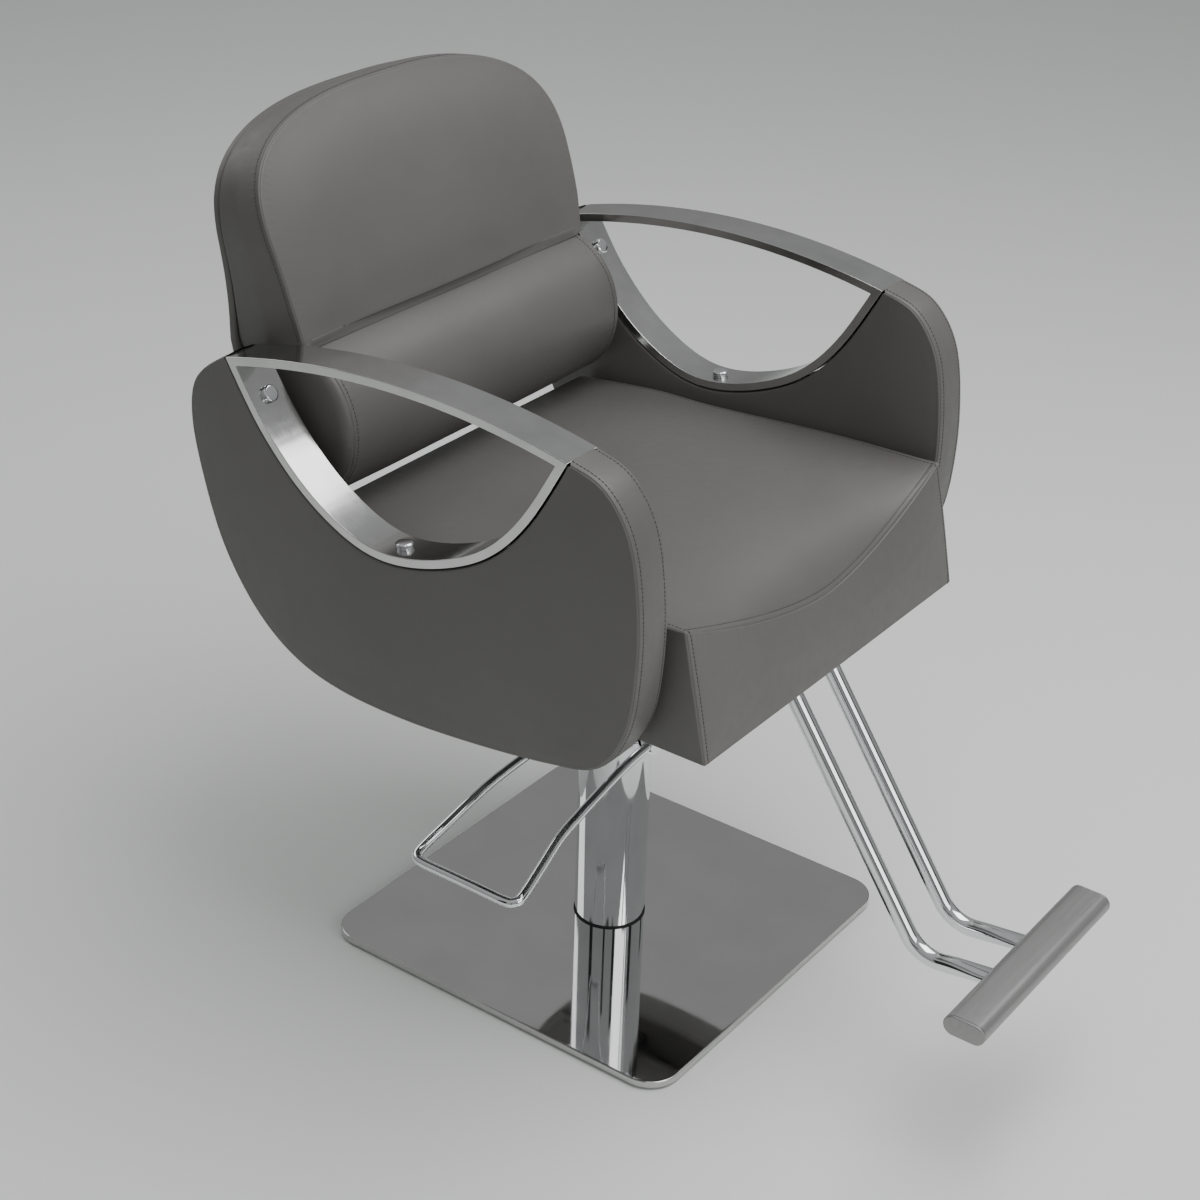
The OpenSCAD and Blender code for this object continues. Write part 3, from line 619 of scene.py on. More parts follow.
def crown(piece, distance, height, reach):
    """Lifts the panels between their seams."""
    lift = height * (1 - np.exp(-(distance / reach) ** 2))
    put(piece, places(piece) + normals(piece) * lift[:, None])


def undulate(piece, size, depth, seed, distance, keep=10 * mm):
    """A slow unevenness of the foam, which fades out at the seams."""
    shift = Vector((seed * 3.7, seed * 1.3, seed * 2.1))
    here = places(piece)
    waves = np.array([noise.noise(Vector(p) / size + shift) for p in here])
    fade = np.clip(distance / keep, 0, 1)
    put(piece, here + normals(piece) * (waves * depth * fade)[:, None])


def keep_modifiers(piece):
    """Makes the piece's modified mesh its own mesh."""
    ready = piece.evaluated_get(bpy.context.evaluated_depsgraph_get())
    data = bpy.data.meshes.new_from_object(ready)
    piece.modifiers.clear()
    piece.data = data
    data.name = piece.name


def upholster(piece, seams, rims, stitched, pressure, cap, seed, dome):
    """All the upholstery steps on one piece; rims are edges that are held but not sewn."""
    distance, _ = seam_distance(piece, seams + rims)
    soften(piece, distance, 5 * mm, 5)
    swell(piece, distance, pressure, cap)
    crown(piece, distance, *dome)
    undulate(piece, 0.13, 0.7 * mm, seed, distance)
    smoother = piece.modifiers.new("smoother", "SUBSURF")
    smoother.levels = smoother.render_levels = 1
    keep_modifiers(piece)
    press_seams(piece, seams, stitched)


# %% [markdown]
# Stitches are real threads. Each is a short bent rod that dives into the vinyl at both ends, laid on the
# finished surface beside its seam. They could be drawn in a bump map, but as geometry they also catch
# light from the side. All the stitches of one piece are joined in one mesh.

# %% Stitches
STITCH_PITCH = 4.6 * mm
STITCH_LENGTH = 3.5 * mm
THREAD_R = 0.42 * mm
STITCH_STATIONS = 5
THREAD_SIDES = 6


def surface_of(piece):
    data = piece.data
    faces = [tuple(f.vertices) for f in data.polygons]
    return BVHTree.FromPolygons([v.co for v in data.vertices], faces)


def stitches(name, piece, lines, body):
    """Threads along lines that lie near the surface of a piece."""
    surface = surface_of(piece)
    points = []
    faces = []
    for line in lines:
        run = travelled(line)[-1]
        centres = along(line, np.arange(STITCH_PITCH / 2, run, STITCH_PITCH))
        for centre, heading in zip(centres, directions(centres)):
            spot, normal, _, _ = surface.find_nearest(Vector(centre))
            ahead = Vector(heading)
            ahead = (ahead - normal * ahead.dot(normal)).normalized()
            sideways = normal.cross(ahead)
            base = len(points)
            for s in np.linspace(-1, 1, STITCH_STATIONS):
                height = THREAD_R * (0.9 - 1.5 * s * s)
                middle = spot + ahead * (s * STITCH_LENGTH / 2) + normal * height
                for k in range(THREAD_SIDES):
                    a = 2 * math.pi * k / THREAD_SIDES
                    points.append(middle + (sideways * math.cos(a) + normal * math.sin(a)) * THREAD_R)
            for i in range(STITCH_STATIONS - 1):
                for k in range(THREAD_SIDES):
                    j = (k + 1) % THREAD_SIDES
                    low, high = base + i * THREAD_SIDES, base + (i + 1) * THREAD_SIDES
                    faces.append((low + k, low + j, high + j, high + k))
            last = base + (STITCH_STATIONS - 1) * THREAD_SIDES
            faces.append(tuple(base + k for k in reversed(range(THREAD_SIDES))))
            faces.append(tuple(last + k for k in range(THREAD_SIDES)))
    data = bpy.data.meshes.new(name)
    data.from_pydata(points, [], faces)
    data.materials.append(thread)
    data.shade_smooth()
    made = bpy.data.objects.new(name, data)
    bpy.context.scene.collection.objects.link(made)
    fasten(made, body)
    print(name, len(points) // (STITCH_STATIONS * THREAD_SIDES), "stitches")
    return made


# %% [markdown]
# A flat panel of any outline is filled in two parts. A few rings follow the outline closely, so that the
# seam at its edge stays crisp, and the middle is a grid blended from the four sides of the last ring.


# %% Panel filling
RING_INSETS = np.array([0, 1.5, 3, 4.6, 6.6, 9, 12, 16]) * mm


def blended(ring, side):
    """A grid inside a closed ring of 4*side points, blended from its four sides."""
    bottom = ring[0:side + 1]
    right = ring[side:2 * side + 1]
    top = ring[2 * side:3 * side + 1][::-1]
    left = np.concatenate([ring[3 * side:], ring[:1]])[::-1]
    u = np.linspace(0, 1, side + 1)[None, :, None]
    v = np.linspace(0, 1, side + 1)[:, None, None]
    corners = ((1 - u) * (1 - v) * bottom[0] + u * (1 - v) * bottom[-1]
               + (1 - u) * v * top[0] + u * v * top[-1])
    return (1 - v) * bottom[None] + v * top[None] + (1 - u) * left[:, None] + u * right[:, None] - corners


def panel(outline, side, lift):
    """Grids that fill a closed flat outline; lift turns a flat point and its inset into a place."""
    inward = leftward(outline, closed=True)
    rings = [outline + inward * inset for inset in RING_INSETS]
    closed = [np.concatenate([ring, ring[:1]]) for ring in rings]
    border = np.array([[lift(p, inset) for p in ring] for ring, inset in zip(closed, RING_INSETS)])
    middle = np.array([[lift(p, RING_INSETS[-1]) for p in row] for row in blended(rings[-1], side)])
    return [border, middle]


# %% [markdown]
# ## The arms
# Each arm is a wooden core between two foam pads, wrapped in three pieces of vinyl: an outer panel, an
# inner panel and a boxing strip that runs round its edge from the front tip to the rear tip. The upper
# side is hollowed by the steel band. One strip describes the whole shape: its stations walk from the
# front tip to the rear tip, and each station is a closed section that goes over the outer panel, round
# the boxing and back over the inner panel.

# %% Arm lines
arm_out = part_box("arm_outer_pad_left")[1].x
arm_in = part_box("arm_inner_pad_left")[0].x
BAND_GAP = 1.5 * mm
BAND_T = 10 * mm
FRONT_TIP, REAR_TIP = (-157, 797), (301, 784)
ARM_EDGE = smooth(np.array([
    FRONT_TIP, (-200, 783), (-232, 742), (-246, 680), (-249, 600), (-238, 520), (-203, 465), (-140, 446),
    (-40, 431), (60, 423), (150, 426), (218, 445), (274, 487), (320, 555), (348, 640), (358, 705),
    (346, 750), REAR_TIP]) * mm)
BAND_LOW = smooth(np.array([
    FRONT_TIP, (-110, 716), (-60, 662), (3, 628), (72, 611), (130, 619), (195, 655), (253, 712),
    REAR_TIP]) * mm)
print("an arm's edge is", round(travelled(ARM_EDGE)[-1], 2), "m long")


# %% Arm upholstery
EDGE_ROWS = np.array([0, 1.3, 2.8, 4.5, 6.4, 8.6, 11.5]) * mm
BAND_ROWS = np.array([0, 1.2, 2.6, 4.4, 7]) * mm
FACE_ROWS = 16
ARM_STATIONS = 250
BOXING_CROWN = 1.6 * mm


def across(x, line):
    """Places at one x for a line of [y, z]."""
    return np.column_stack([np.full(len(line), x), line])


def arm_face(edge, low):
    """Lines over one face of the arm, from its edge to the band."""
    width = np.linalg.norm(low - edge, axis=1, keepdims=True)
    share = np.minimum(1, width / (45 * mm))
    from_edge = [edge + leftward(edge) * d * share for d in EDGE_ROWS]
    from_band = [low - leftward(low) * d * share for d in BAND_ROWS[::-1]]
    a, b = from_edge[-1], from_band[0]
    middle = [a + (b - a) * t for t in np.linspace(0, 1, FACE_ROWS)[1:-1]]
    return from_edge + middle + from_band


def make_arm(side, name):
    edge = even(ARM_EDGE, ARM_STATIONS)
    low = even(BAND_LOW, ARM_STATIONS)
    low = low - leftward(low) * BAND_GAP
    face = arm_face(edge, low)
    x_out, x_in = side * arm_out, side * arm_in
    section = [across(x_out, line) for line in face[::-1]]
    for t in graded(arm_out - arm_in, coarse=5 * mm)[1:-1]:
        crown = BOXING_CROWN * (1 - (2 * t - 1) ** 4)
        section.append(across(x_out + (x_in - x_out) * t, edge - leftward(edge) * crown))
    section += [across(x_in, line) for line in face]
    for t in (0.06, 0.15, 0.5, 0.85, 0.94, 1):
        section.append(across(x_in + (x_out - x_in) * t, low))
    arm = skin(name, [np.array(section)], vinyl)
    seams = [across(x_out, edge), across(x_in, edge)]
    rims = [across(x_out, low), across(x_in, low)]
    stitched = [across(x_out - side * STITCH_ASIDE, edge), across(x_in + side * STITCH_ASIDE, edge)]
    upholster(arm, seams, rims, stitched, pressure=2.5, cap=5 * mm, seed=3 + side,
              dome=(1.2 * mm, 45 * mm))
    return arm, stitched


for side, word in ((-1, "right"), (1, "left")):
    arm, stitched = make_arm(side, "arm_upholstery_" + word)
    replaced = ["arm_outer_pad_" + word, "arm_inner_pad_" + word, "arm_boxing_" + word]
    fasten(arm, "seat_unit", replaced)
    stitches("arm_stitches_" + word, arm, stitched, "seat_unit")

# %% [markdown]
# ## The armrest bands
# Each armrest is a band of stainless steel, 50 mm wide and 10 mm thick, bent to the arm's lower curve
# and closed by a flatter arc on top, with a mitre at both tips. It is brushed along its length, and its
# edges are broken, which is what makes the bright line along them. A round-headed screw holds it at the
# bottom and another at the rear.


# %% Bands
TOP_RISE = 27.5 * mm
EDGE_BREAK = 0.9 * mm
BAND_STATIONS = 120
SCREW_STATIONS = (24, 44)


def bevelled(piece, width=EDGE_BREAK, angle=35, segments=3):
    """Breaks the piece's sharp edges."""
    breaker = piece.modifiers.new("break", "BEVEL")
    breaker.width = width
    breaker.segments = segments
    breaker.limit_method = "ANGLE"
    breaker.angle_limit = math.radians(angle)
    breaker.harden_normals = True
    keep_modifiers(piece)


def crossing(a, b):
    """Where along two finely drawn lines they come nearest, in the first and the last third."""
    found = []
    third = len(a) // 3
    for part in (slice(0, third), slice(-third, None)):
        gap = np.linalg.norm(a[part][:, None] - b[part][None], axis=2)
        i, j = np.unravel_index(gap.argmin(), gap.shape)
        start = 0 if part.start == 0 else len(a) - third
        found.append((i + start, j + start))
    return found


def band_loops():
    """The band's outer and inner outline, front tip to rear tip below and back above."""
    fine = 900
    t = np.linspace(0, 1, fine)[:, None]
    front, rear = np.array(FRONT_TIP) * mm, np.array(REAR_TIP) * mm
    top = front + (rear - front) * t + np.array([0, 1]) * 4 * TOP_RISE * t * (1 - t)
    low = even(BAND_LOW, fine)
    low_in = low + leftward(low) * BAND_T
    top_in = top - leftward(top) * BAND_T
    (low_a, top_a), (low_b, top_b) = crossing(low_in, top_in)
    outer = [even(low, BAND_STATIONS), even(top, BAND_STATIONS)[::-1][1:-1]]
    inner = [even(low_in[low_a:low_b + 1], BAND_STATIONS),
             even(top_in[top_a:top_b + 1], BAND_STATIONS)[::-1][1:-1]]
    return np.concatenate(outer), np.concatenate(inner)


def turned(name, profile, finish, sides=64, sharp_angle=30):
    """A round piece about its own Z, from a profile of radius and height."""
    angles = np.linspace(0, 2 * math.pi, sides + 1)
    grid = [[(r * math.cos(a), r * math.sin(a), z) for a in angles] for r, z in profile]
    return skin(name, [grid], finish, sharp_angle)


def head_profile(radius, height, chamfer):
    """A domed screw head with a small chamfer and an undercut foot."""
    dome = 0.5 * mm
    rim = radius - chamfer
    arch = [(rim * math.sin(a), height - dome * (1 - math.cos(a))) for a in np.linspace(0, math.pi / 2, 7)]
    return arch + [(radius, height - dome - chamfer), (radius, 1.2 * mm), (radius - 0.8 * mm, 0.6 * mm),
                   (radius - 0.8 * mm, -1.5 * mm), (0, -1.5 * mm)]


SCREW_HEAD = head_profile(9.5 * mm, 5.5 * mm, 1.1 * mm)
SCREW_STAND = 0.8 * mm

for side, word in ((-1, "right"), (1, "left")):
    outer, inner = band_loops()
    x_out, x_in = side * arm_out, side * arm_in
    section = [across(x_out, outer), across(x_out, inner), across(x_in, inner), across(x_in, outer)]
    closed = [np.concatenate([line, line[:1]]) for line in section + section[:1]]
    band = skin("armrest_band_" + word, [np.array(closed)], brushed, sharp_angle=30)
    bevelled(band)
    fasten(band, "seat_unit", ["arm_band_" + word])
    heading = leftward(BAND_LOW)
    for station in SCREW_STATIONS:
        out = Vector((0, *heading[station]))
        foot = BAND_LOW[station] + heading[station] * (BAND_T + SCREW_STAND)
        head = turned(f"band_screw_{word}_{station}", SCREW_HEAD, chrome)
        turn = out.to_track_quat("Z", "X").to_matrix().to_4x4()
        head.data.transform(Matrix.Translation((side * (arm_out + arm_in) / 2, *foot)) @ turn)
        fasten(head, "seat_unit")
    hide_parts("band_screws_" + word)
print("bands and", 2 * len(SCREW_STATIONS), "screws")

# %% [markdown]
# ## The seat
# The seat is a foam block on a plywood board. Its top panel is sewn to a front panel, two sides and a
# rear strip. The front seam dips in the middle, where the foam rolls over towards the knees, and rises
# to a point at both corners. Heights come from three rules: the slope of the side edges, the dip, which
# fades away from the front, and a crown in the middle.

# %% Seat surfaces
seat_low, seat_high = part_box("seat_cushion")
seat_half = seat_high.x
SEAT_FOOT = seat_low.z
SEAT_REAR = 258 * mm
FRONT_FOOT_Y, FRONT_TOP_Y, FRONT_TOP_Z = -293 * mm, -261 * mm, 618 * mm
FRONT_DIP = 60 * mm
DIP_POWER = 1.65
ROLL_OFF = 38 * mm
SEAT_CROWN = 9 * mm
SIDE_EDGE = smooth(np.array([(-261, 618), (-234, 616), (-145, 613), (-61, 608), (55, 599), (145, 596),
                             (258, 583)]) * mm)


def front_y(z):
    """The leaning front panel's y at height z."""
    return FRONT_FOOT_Y + (z - SEAT_FOOT) * (FRONT_TOP_Y - FRONT_FOOT_Y) / (FRONT_TOP_Z - SEAT_FOOT)


def front_dip(x):
    return FRONT_DIP * (1 - min(1, abs(x / seat_half)) ** DIP_POWER)


def seat_top(x, share):
    """A place on the top panel; share runs from the front seam to the rear edge."""
    start = front_y(FRONT_TOP_Z - front_dip(x))
    y = start + (SEAT_REAR - start) * share
    edge_height = np.interp(y, SIDE_EDGE[:, 0], SIDE_EDGE[:, 1])
    inside = 1 - (x / seat_half) ** 2
    crown = SEAT_CROWN * inside * (1 - math.exp(-(y - start) / (60 * mm)))
    crown *= 1 - math.exp(-(SEAT_REAR - y) / (40 * mm))
    return x, y, edge_height + crown - front_dip(x) * math.exp(-(y - start) / ROLL_OFF)


def lerped(top, foot, shares, bulge=(0, 0, 0)):
    """A grid between two lines, bulging in the middle but not along its borders."""
    top, foot = np.array(top), np.array(foot)
    fade = 1 - np.linspace(-1, 1, len(top)) ** 6
    swollen = fade[:, None] * bulge
    return np.array([top + (foot - top) * t + swollen * math.sin(math.pi * t) for t in shares])


def make_seat():
    cross = (graded(2 * seat_half) * 2 - 1) * seat_half
    depth = graded(SEAT_REAR - FRONT_TOP_Y)
    height = graded(FRONT_TOP_Z - SEAT_FOOT)
    top = np.array([[seat_top(x, t) for x in cross] for t in depth])
    front_foot = [(x, FRONT_FOOT_Y, SEAT_FOOT) for x in cross]
    rear_foot = [(x, SEAT_REAR + 4 * mm, SEAT_FOOT) for x in cross]
    foot_y = FRONT_FOOT_Y + (SEAT_REAR + 4 * mm - FRONT_FOOT_Y) * depth
    grids = [top, lerped(top[0], front_foot, height, (0, -2.5 * mm, 0)),
             lerped(top[-1], rear_foot, height, (0, 2 * mm, 0))]
    for column, x in ((0, -seat_half), (-1, seat_half)):
        foot = [(x, y, SEAT_FOOT) for y in foot_y]
        grids.append(lerped(top[:, column], foot, height, (math.copysign(1.5 * mm, x), 0, 0)))
    under = np.array([[(x, y, SEAT_FOOT) for x in cross] for y in foot_y])
    rim = 13 * mm
    board = (abs(under[:, :, 0]) < seat_half - rim) & (under[:, :, 1] > FRONT_FOOT_Y + rim)
    under[board & (under[:, :, 1] < SEAT_REAR - rim), 2] += 4 * mm
    grids.append(under)
    seat = skin("seat_upholstery", grids, vinyl)
    corners = [lerped([top[i, j]], [under[i, j]], np.linspace(0, 1, 40))[:, 0]
               for i in (0, -1) for j in (0, -1)]
    seams = [top[0], top[-1], top[:, 0], top[:, -1]] + corners
    rims = [under[0], under[-1], under[:, 0], under[:, -1]]
    beside_front = [along(top[:, j], [STITCH_ASIDE])[0] for j in range(4, len(cross) - 4)]
    beside_corner = [corners[j] + [-math.copysign(STITCH_ASIDE, corners[j][0, 0]), 0, 0] for j in (0, 1)]
    beside_sides = [top[3:, 0] + [STITCH_ASIDE, 0, 0], top[3:, -1] - [STITCH_ASIDE, 0, 0]]
    stitched = [np.array(beside_front)] + beside_corner + beside_sides
    upholster(seat, seams, rims, stitched, pressure=3, cap=7 * mm, seed=11, dome=(2 * mm, 70 * mm))
    return seat, stitched


seat, seat_stitched = make_seat()
fasten(seat, "seat_unit", ["seat_cushion"])
stitches("seat_stitches", seat, seat_stitched, "seat_unit")

# %% [markdown]
# ## The back
# The back is bent: it leans back a little at its foot and more towards its top. Its outline, a wide arch
# with round shoulders, is cut square to a plane that leans 14 degrees. A point of the back is therefore
# given by its x, its height s along that plane and its depth behind the front face, and a small table
# turns s and depth into y and z. The front panel and the boxing make the cushion; the rear cover is a
# panel of its own, which goes further down, behind the lumbar roll.

# %% Back shape
BACK_FOOT = (257.2 * mm, 790 * mm)
BACK_LEAN = math.radians(11.6)
BACK_BEND = 1.06
BACK_TILT = math.radians(14)
BACK_TAPER = 0.22
ARCH_LOW, ARCH_HIGH, ARCH_POWER = 108 * mm, 134 * mm, 0.753
BACK_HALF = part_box("back_cushion")[1].x
CUSHION_DEPTH = 98 * mm
COVER_DEPTH = 110 * mm
COVER_FOOT, STRAIGHT_TOP = 620 * mm, 740 * mm
PANEL_SIDE = 56


def plane_height(y, z):
    return (z - BACK_FOOT[1]) * math.cos(BACK_TILT) + (y - BACK_FOOT[0]) * math.sin(BACK_TILT)


def back_table(depth, foot_y=None, taper=BACK_TAPER):
    """s, y and z up the back at one depth; with foot_y it goes straight down to the cover's foot."""
    start = 0 if foot_y else -40 * mm
    rise = np.linspace(start, 300 * mm, 60)
    z = BACK_FOOT[1] + rise
    slope = np.arctan(math.tan(BACK_LEAN) + 2 * BACK_BEND * rise)
    depth = depth - taper * np.maximum(rise, 0) * min(depth / CUSHION_DEPTH, 1)
    y = BACK_FOOT[0] + math.tan(BACK_LEAN) * rise + BACK_BEND * rise**2 + depth * np.cos(slope)
    z = z - depth * np.sin(slope)
    if foot_y:
        y, z = np.concatenate([[foot_y, foot_y], y]), np.concatenate([[COVER_FOOT, STRAIGHT_TOP], z])
    return np.stack([plane_height(y, z), y, z], axis=1)


def back_place(x, s, table):
    return x, np.interp(s, table[:, 0], table[:, 1]), np.interp(s, table[:, 0], table[:, 2])


def arch(half, foot, foot_half, corner):
    """The back's outline in [x, s], from the foot's left corner round to it again, in four parts."""
    turn = np.linspace(0, math.pi / 2, 60)
    right = np.stack([half * np.cos(turn) ** ARCH_POWER,
                      ARCH_LOW + ARCH_HIGH * np.sin(turn) ** ARCH_POWER], axis=1)
    shoulder = 24
    cut = np.linspace(0, math.pi / 2, 6)
    round_foot = np.stack([foot_half - corner + corner * np.sin(cut),
                           foot + corner - corner * np.cos(cut)], axis=1)
    hip = (half - 4 * mm, foot + corner + 42 * mm)
    flank = np.concatenate([round_foot[3:], [hip], right[:shoulder + 1]])
    base = np.concatenate([round_foot[:4][::-1], round_foot[:4] * [-1, 1]])[::-1]
    top = np.concatenate([right[shoulder:], (right[shoulder:-1] * [-1, 1])[::-1]])
    parts = [base, flank, top, (flank * [-1, 1])[::-1]]
    return np.concatenate([even(part, PANEL_SIDE + 1)[:-1] for part in parts])


def boxing(outline, tables, lean=0.0):
    """A grid round the outline through tables for several depths, swelling in the middle."""
    inward = leftward(outline, closed=True)
    rows = []
    for t, table in tables:
        line = outline - inward * lean * math.sin(math.pi * t)
        rows.append([back_place(x, s, table) for x, s in np.concatenate([line, line[:1]])])
    return np.array(rows)


def make_back():
    outline = arch(BACK_HALF, -15 * mm, BACK_HALF - 9 * mm, 8 * mm)
    front, rear = back_table(0), back_table(CUSHION_DEPTH)
    shares = graded(CUSHION_DEPTH)
    tables = [(t, back_table(CUSHION_DEPTH * t)) for t in shares]
    strip = boxing(outline, tables, lean=2 * mm)
    grids = [strip]
    grids += panel(outline, PANEL_SIDE, lambda p, inset: back_place(*p, front))
    grids += panel(outline, PANEL_SIDE, lambda p, inset: back_place(*p, rear))
    back = skin("back_upholstery", grids, vinyl)
    beside = back_table(STITCH_ASIDE, taper=0)
    whole = np.concatenate([outline, outline[:1]])
    stitched = [np.array([back_place(x, s, beside) for x, s in whole])]
    upholster(back, [strip[0]], [strip[-1]], stitched, pressure=3, cap=8 * mm, seed=23,
              dome=(4 * mm, 45 * mm))
    return back, stitched


back, back_stitched = make_back()
fasten(back, "seat_unit", ["back_cushion"])
stitches("back_stitches", back, back_stitched, "seat_unit")

# %% [markdown]
# The rear cover is a thin padded panel over the back board. Nothing but its own edge is sewn, so it is a
# shallow pillow with one seam and a row of stitches a finger's width inside its edge.


# %% Rear cover
COVER_FRONT = CUSHION_DEPTH + 1.2 * mm
COVER_T = COVER_DEPTH - COVER_FRONT
COVER_FOOT_Y = 348 * mm


def make_cover():
    outline = arch(BACK_HALF - 2 * mm, -146 * mm, BACK_HALF - 9 * mm, 14 * mm)
    tables = [(t, back_table(COVER_FRONT + COVER_T * t, COVER_FOOT_Y + COVER_T * t))
              for t in (0, 0.12, 0.3, 0.5, 0.7, 0.88, 1)]
    strip = boxing(outline, tables)
    grids = [strip]
    for _, table in (tables[0], tables[-1]):
        grids += panel(outline, PANEL_SIDE, lambda p, inset, table=table: back_place(*p, table))
    cover = skin("back_cover_panel", grids, vinyl)
    inset_line = outline + leftward(outline, closed=True) * 9 * mm
    whole = np.concatenate([inset_line, inset_line[:1]])
    stitched = [np.array([back_place(x, s, tables[-1][1]) for x, s in whole])]
    upholster(cover, [strip[-1]], [strip[0]], stitched, pressure=2, cap=4 * mm, seed=31,
              dome=(2.5 * mm, 30 * mm))
    return cover, stitched


cover, cover_stitched = make_cover()
fasten(cover, "seat_unit", ["back_cover"])
stitches("cover_stitches", cover, cover_stitched, "seat_unit")

# %% [markdown]
# ## The lumbar roll
# The roll is a fat bolster between the arms, under the back. Its section is an ellipse cut flat where it
# lies against the back board. One tube of vinyl goes round it, sewn to a slightly domed disc at each
# end, with stitches just inside that seam.

# %% Roll
ROLL_MIDDLE = (272 * mm, 688 * mm)
ROLL_RADII = (80 * mm, 90 * mm)
ROLL_BACK = 334 * mm
ROLL_SEAM = 245 * mm
ROLL_SIDE = 44
# Steps of the rounded end: how far past the seam, and how far drawn in
ROLL_END = np.array([(2.5, 1.2), (5, 3.2), (7.5, 6.5), (9.2, 11), (10, 18)]) * mm


def roll_ring(inset):
    """The roll's section in [y, z], drawn in by inset, as a closed ring."""
    angles = np.linspace(0, 2 * math.pi, 4 * ROLL_SIDE + 1)[:-1] - 3 * math.pi / 4
    y = ROLL_MIDDLE[0] + (ROLL_RADII[0] - inset) * np.cos(angles)
    z = ROLL_MIDDLE[1] + (ROLL_RADII[1] - inset) * np.sin(angles)
    return np.stack([np.minimum(y, ROLL_BACK - inset), z], axis=1)


def make_roll():
    ring = roll_ring(0)
    whole = np.concatenate([ring, ring[:1]])
    cross = (graded(2 * ROLL_SEAM) * 2 - 1) * ROLL_SEAM
    grids = [np.array([across(x, whole) for x in cross])]
    for side in (-1, 1):
        rows = [across(side * ROLL_SEAM, whole)]
        for out, inset in ROLL_END:
            line = roll_ring(inset)
            rows.append(across(side * (ROLL_SEAM + out), np.concatenate([line, line[:1]])))
        grids.append(np.array(rows))
        disc = blended(roll_ring(ROLL_END[-1][1]), ROLL_SIDE)
        grids.append(np.array([across(side * (ROLL_SEAM + ROLL_END[-1][0]), row) for row in disc]))
    roll = skin("lumbar_upholstery", grids, vinyl)
    seams = [across(side * ROLL_SEAM, whole) for side in (-1, 1)]
    visible = whole[whole[:, 0] < ROLL_BACK - 2 * mm]
    order = np.argsort(np.arctan2(visible[:, 1] - ROLL_MIDDLE[1], ROLL_MIDDLE[0] - visible[:, 0]))
    stitched = [across(side * (ROLL_SEAM - 6.5 * mm), visible[order]) for side in (-1, 1)]
    upholster(roll, seams, [], stitched, pressure=3, cap=5 * mm, seed=41, dome=(1 * mm, 90 * mm))
    return roll, stitched


roll, roll_stitched = make_roll()
fasten(roll, "seat_unit", ["lumbar_roll"])
stitches("roll_stitches", roll, roll_stitched, "seat_unit")

# %% [markdown]
# ## Base and column
# The base is a thin sheet of polished stainless pressed over the steel ballast: flat on top, with a
# small rounded edge and a short skirt that stops just above the floor. The column's sleeve is a chromed
# tube with a broken edge at its foot. Both are made as sections swept round an outline.

# %% Base sheet
plate_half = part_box("base_cover")[1].x
plate_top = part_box("base_cover")[1].z
plate_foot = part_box("base_cover")[0].z
PLATE_CORNER = 40 * mm
PLATE_EDGE = 1.6 * mm
SHEET_T = 1.5 * mm
POST_HOLE = 35.5 * mm
CORNER_STEPS = 24


def rounded_square(half, corner):
    """A square with round corners, walked from the middle of its right side."""
    points = []
    for quarter in range(4):
        start = quarter * math.pi / 2
        for k in range(CORNER_STEPS + 1):
            a = start + k * math.pi / 2 / CORNER_STEPS
            cx = (half - corner) * (1 if quarter in (0, 3) else -1)
            cy = (half - corner) * (1 if quarter in (0, 1) else -1)
            points.append((cx + corner * math.cos(a), cy + corner * math.sin(a)))
    return np.array(points)


def make_base():
    def at(inset, z):
        ring = rounded_square(plate_half - inset, PLATE_CORNER - inset)
        return np.column_stack([np.concatenate([ring, ring[:1]]), np.full(len(ring) + 1, z)])

    def hole(z):
        ring = at(0, z)
        flat = ring[:, :2] / np.linalg.norm(ring[:, :2], axis=1, keepdims=True) * POST_HOLE
        return np.column_stack([flat, np.full(len(flat), z)])

    section = [at(SHEET_T, plate_foot), at(0.3 * mm, plate_foot), at(0, plate_foot + 0.4 * mm)]
    for a in np.linspace(0, math.pi / 2, 6):
        section.append(at(PLATE_EDGE * (1 - math.cos(a)), plate_top - PLATE_EDGE * (1 - math.sin(a))))
    section += [at(PLATE_EDGE + 1 * mm, plate_top), hole(plate_top), hole(plate_top - SHEET_T)]
    section += [at(SHEET_T + 1 * mm, plate_top - SHEET_T), at(SHEET_T, plate_top - SHEET_T - 1 * mm)]
    section.append(section[0])
    return skin("base_sheet", [np.array(section)], polished, sharp_angle=40)


base = make_base()
fasten(base, "base", ["base_cover"])

# %% Column sleeve
sleeve_low, sleeve_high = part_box("sleeve")
SLEEVE_BORE = 41 * mm
SLEEVE_BREAK = 0.8 * mm
sleeve_r = sleeve_high.x
sleeve_profile = [
    (SLEEVE_BORE, sleeve_high.z), (SLEEVE_BORE, sleeve_low.z), (sleeve_r - SLEEVE_BREAK, sleeve_low.z),
    (sleeve_r - 0.25 * SLEEVE_BREAK, sleeve_low.z + 0.25 * SLEEVE_BREAK),
    (sleeve_r, sleeve_low.z + SLEEVE_BREAK), (sleeve_r, sleeve_high.z), (SLEEVE_BORE, sleeve_high.z)]
sleeve = turned("column_sleeve", sleeve_profile, chrome, sides=128, sharp_angle=50)
fasten(sleeve, "seat_unit", ["sleeve"])
print("base", round(2 * plate_half, 3), "m square, sleeve radius", round(sleeve_r, 4))

# %% [markdown]
# ## Pedal and footrest
# The pedal is one chromed rod bent to a loop, and the footrest hangs on two chromed tubes that are
# pressed a little flat where they enter the foot bar. A round bar swept along a line is the natural tool.
# The line's own frame is carried along it, so the tube doesn't twist, and its width and height may
# change on the way.


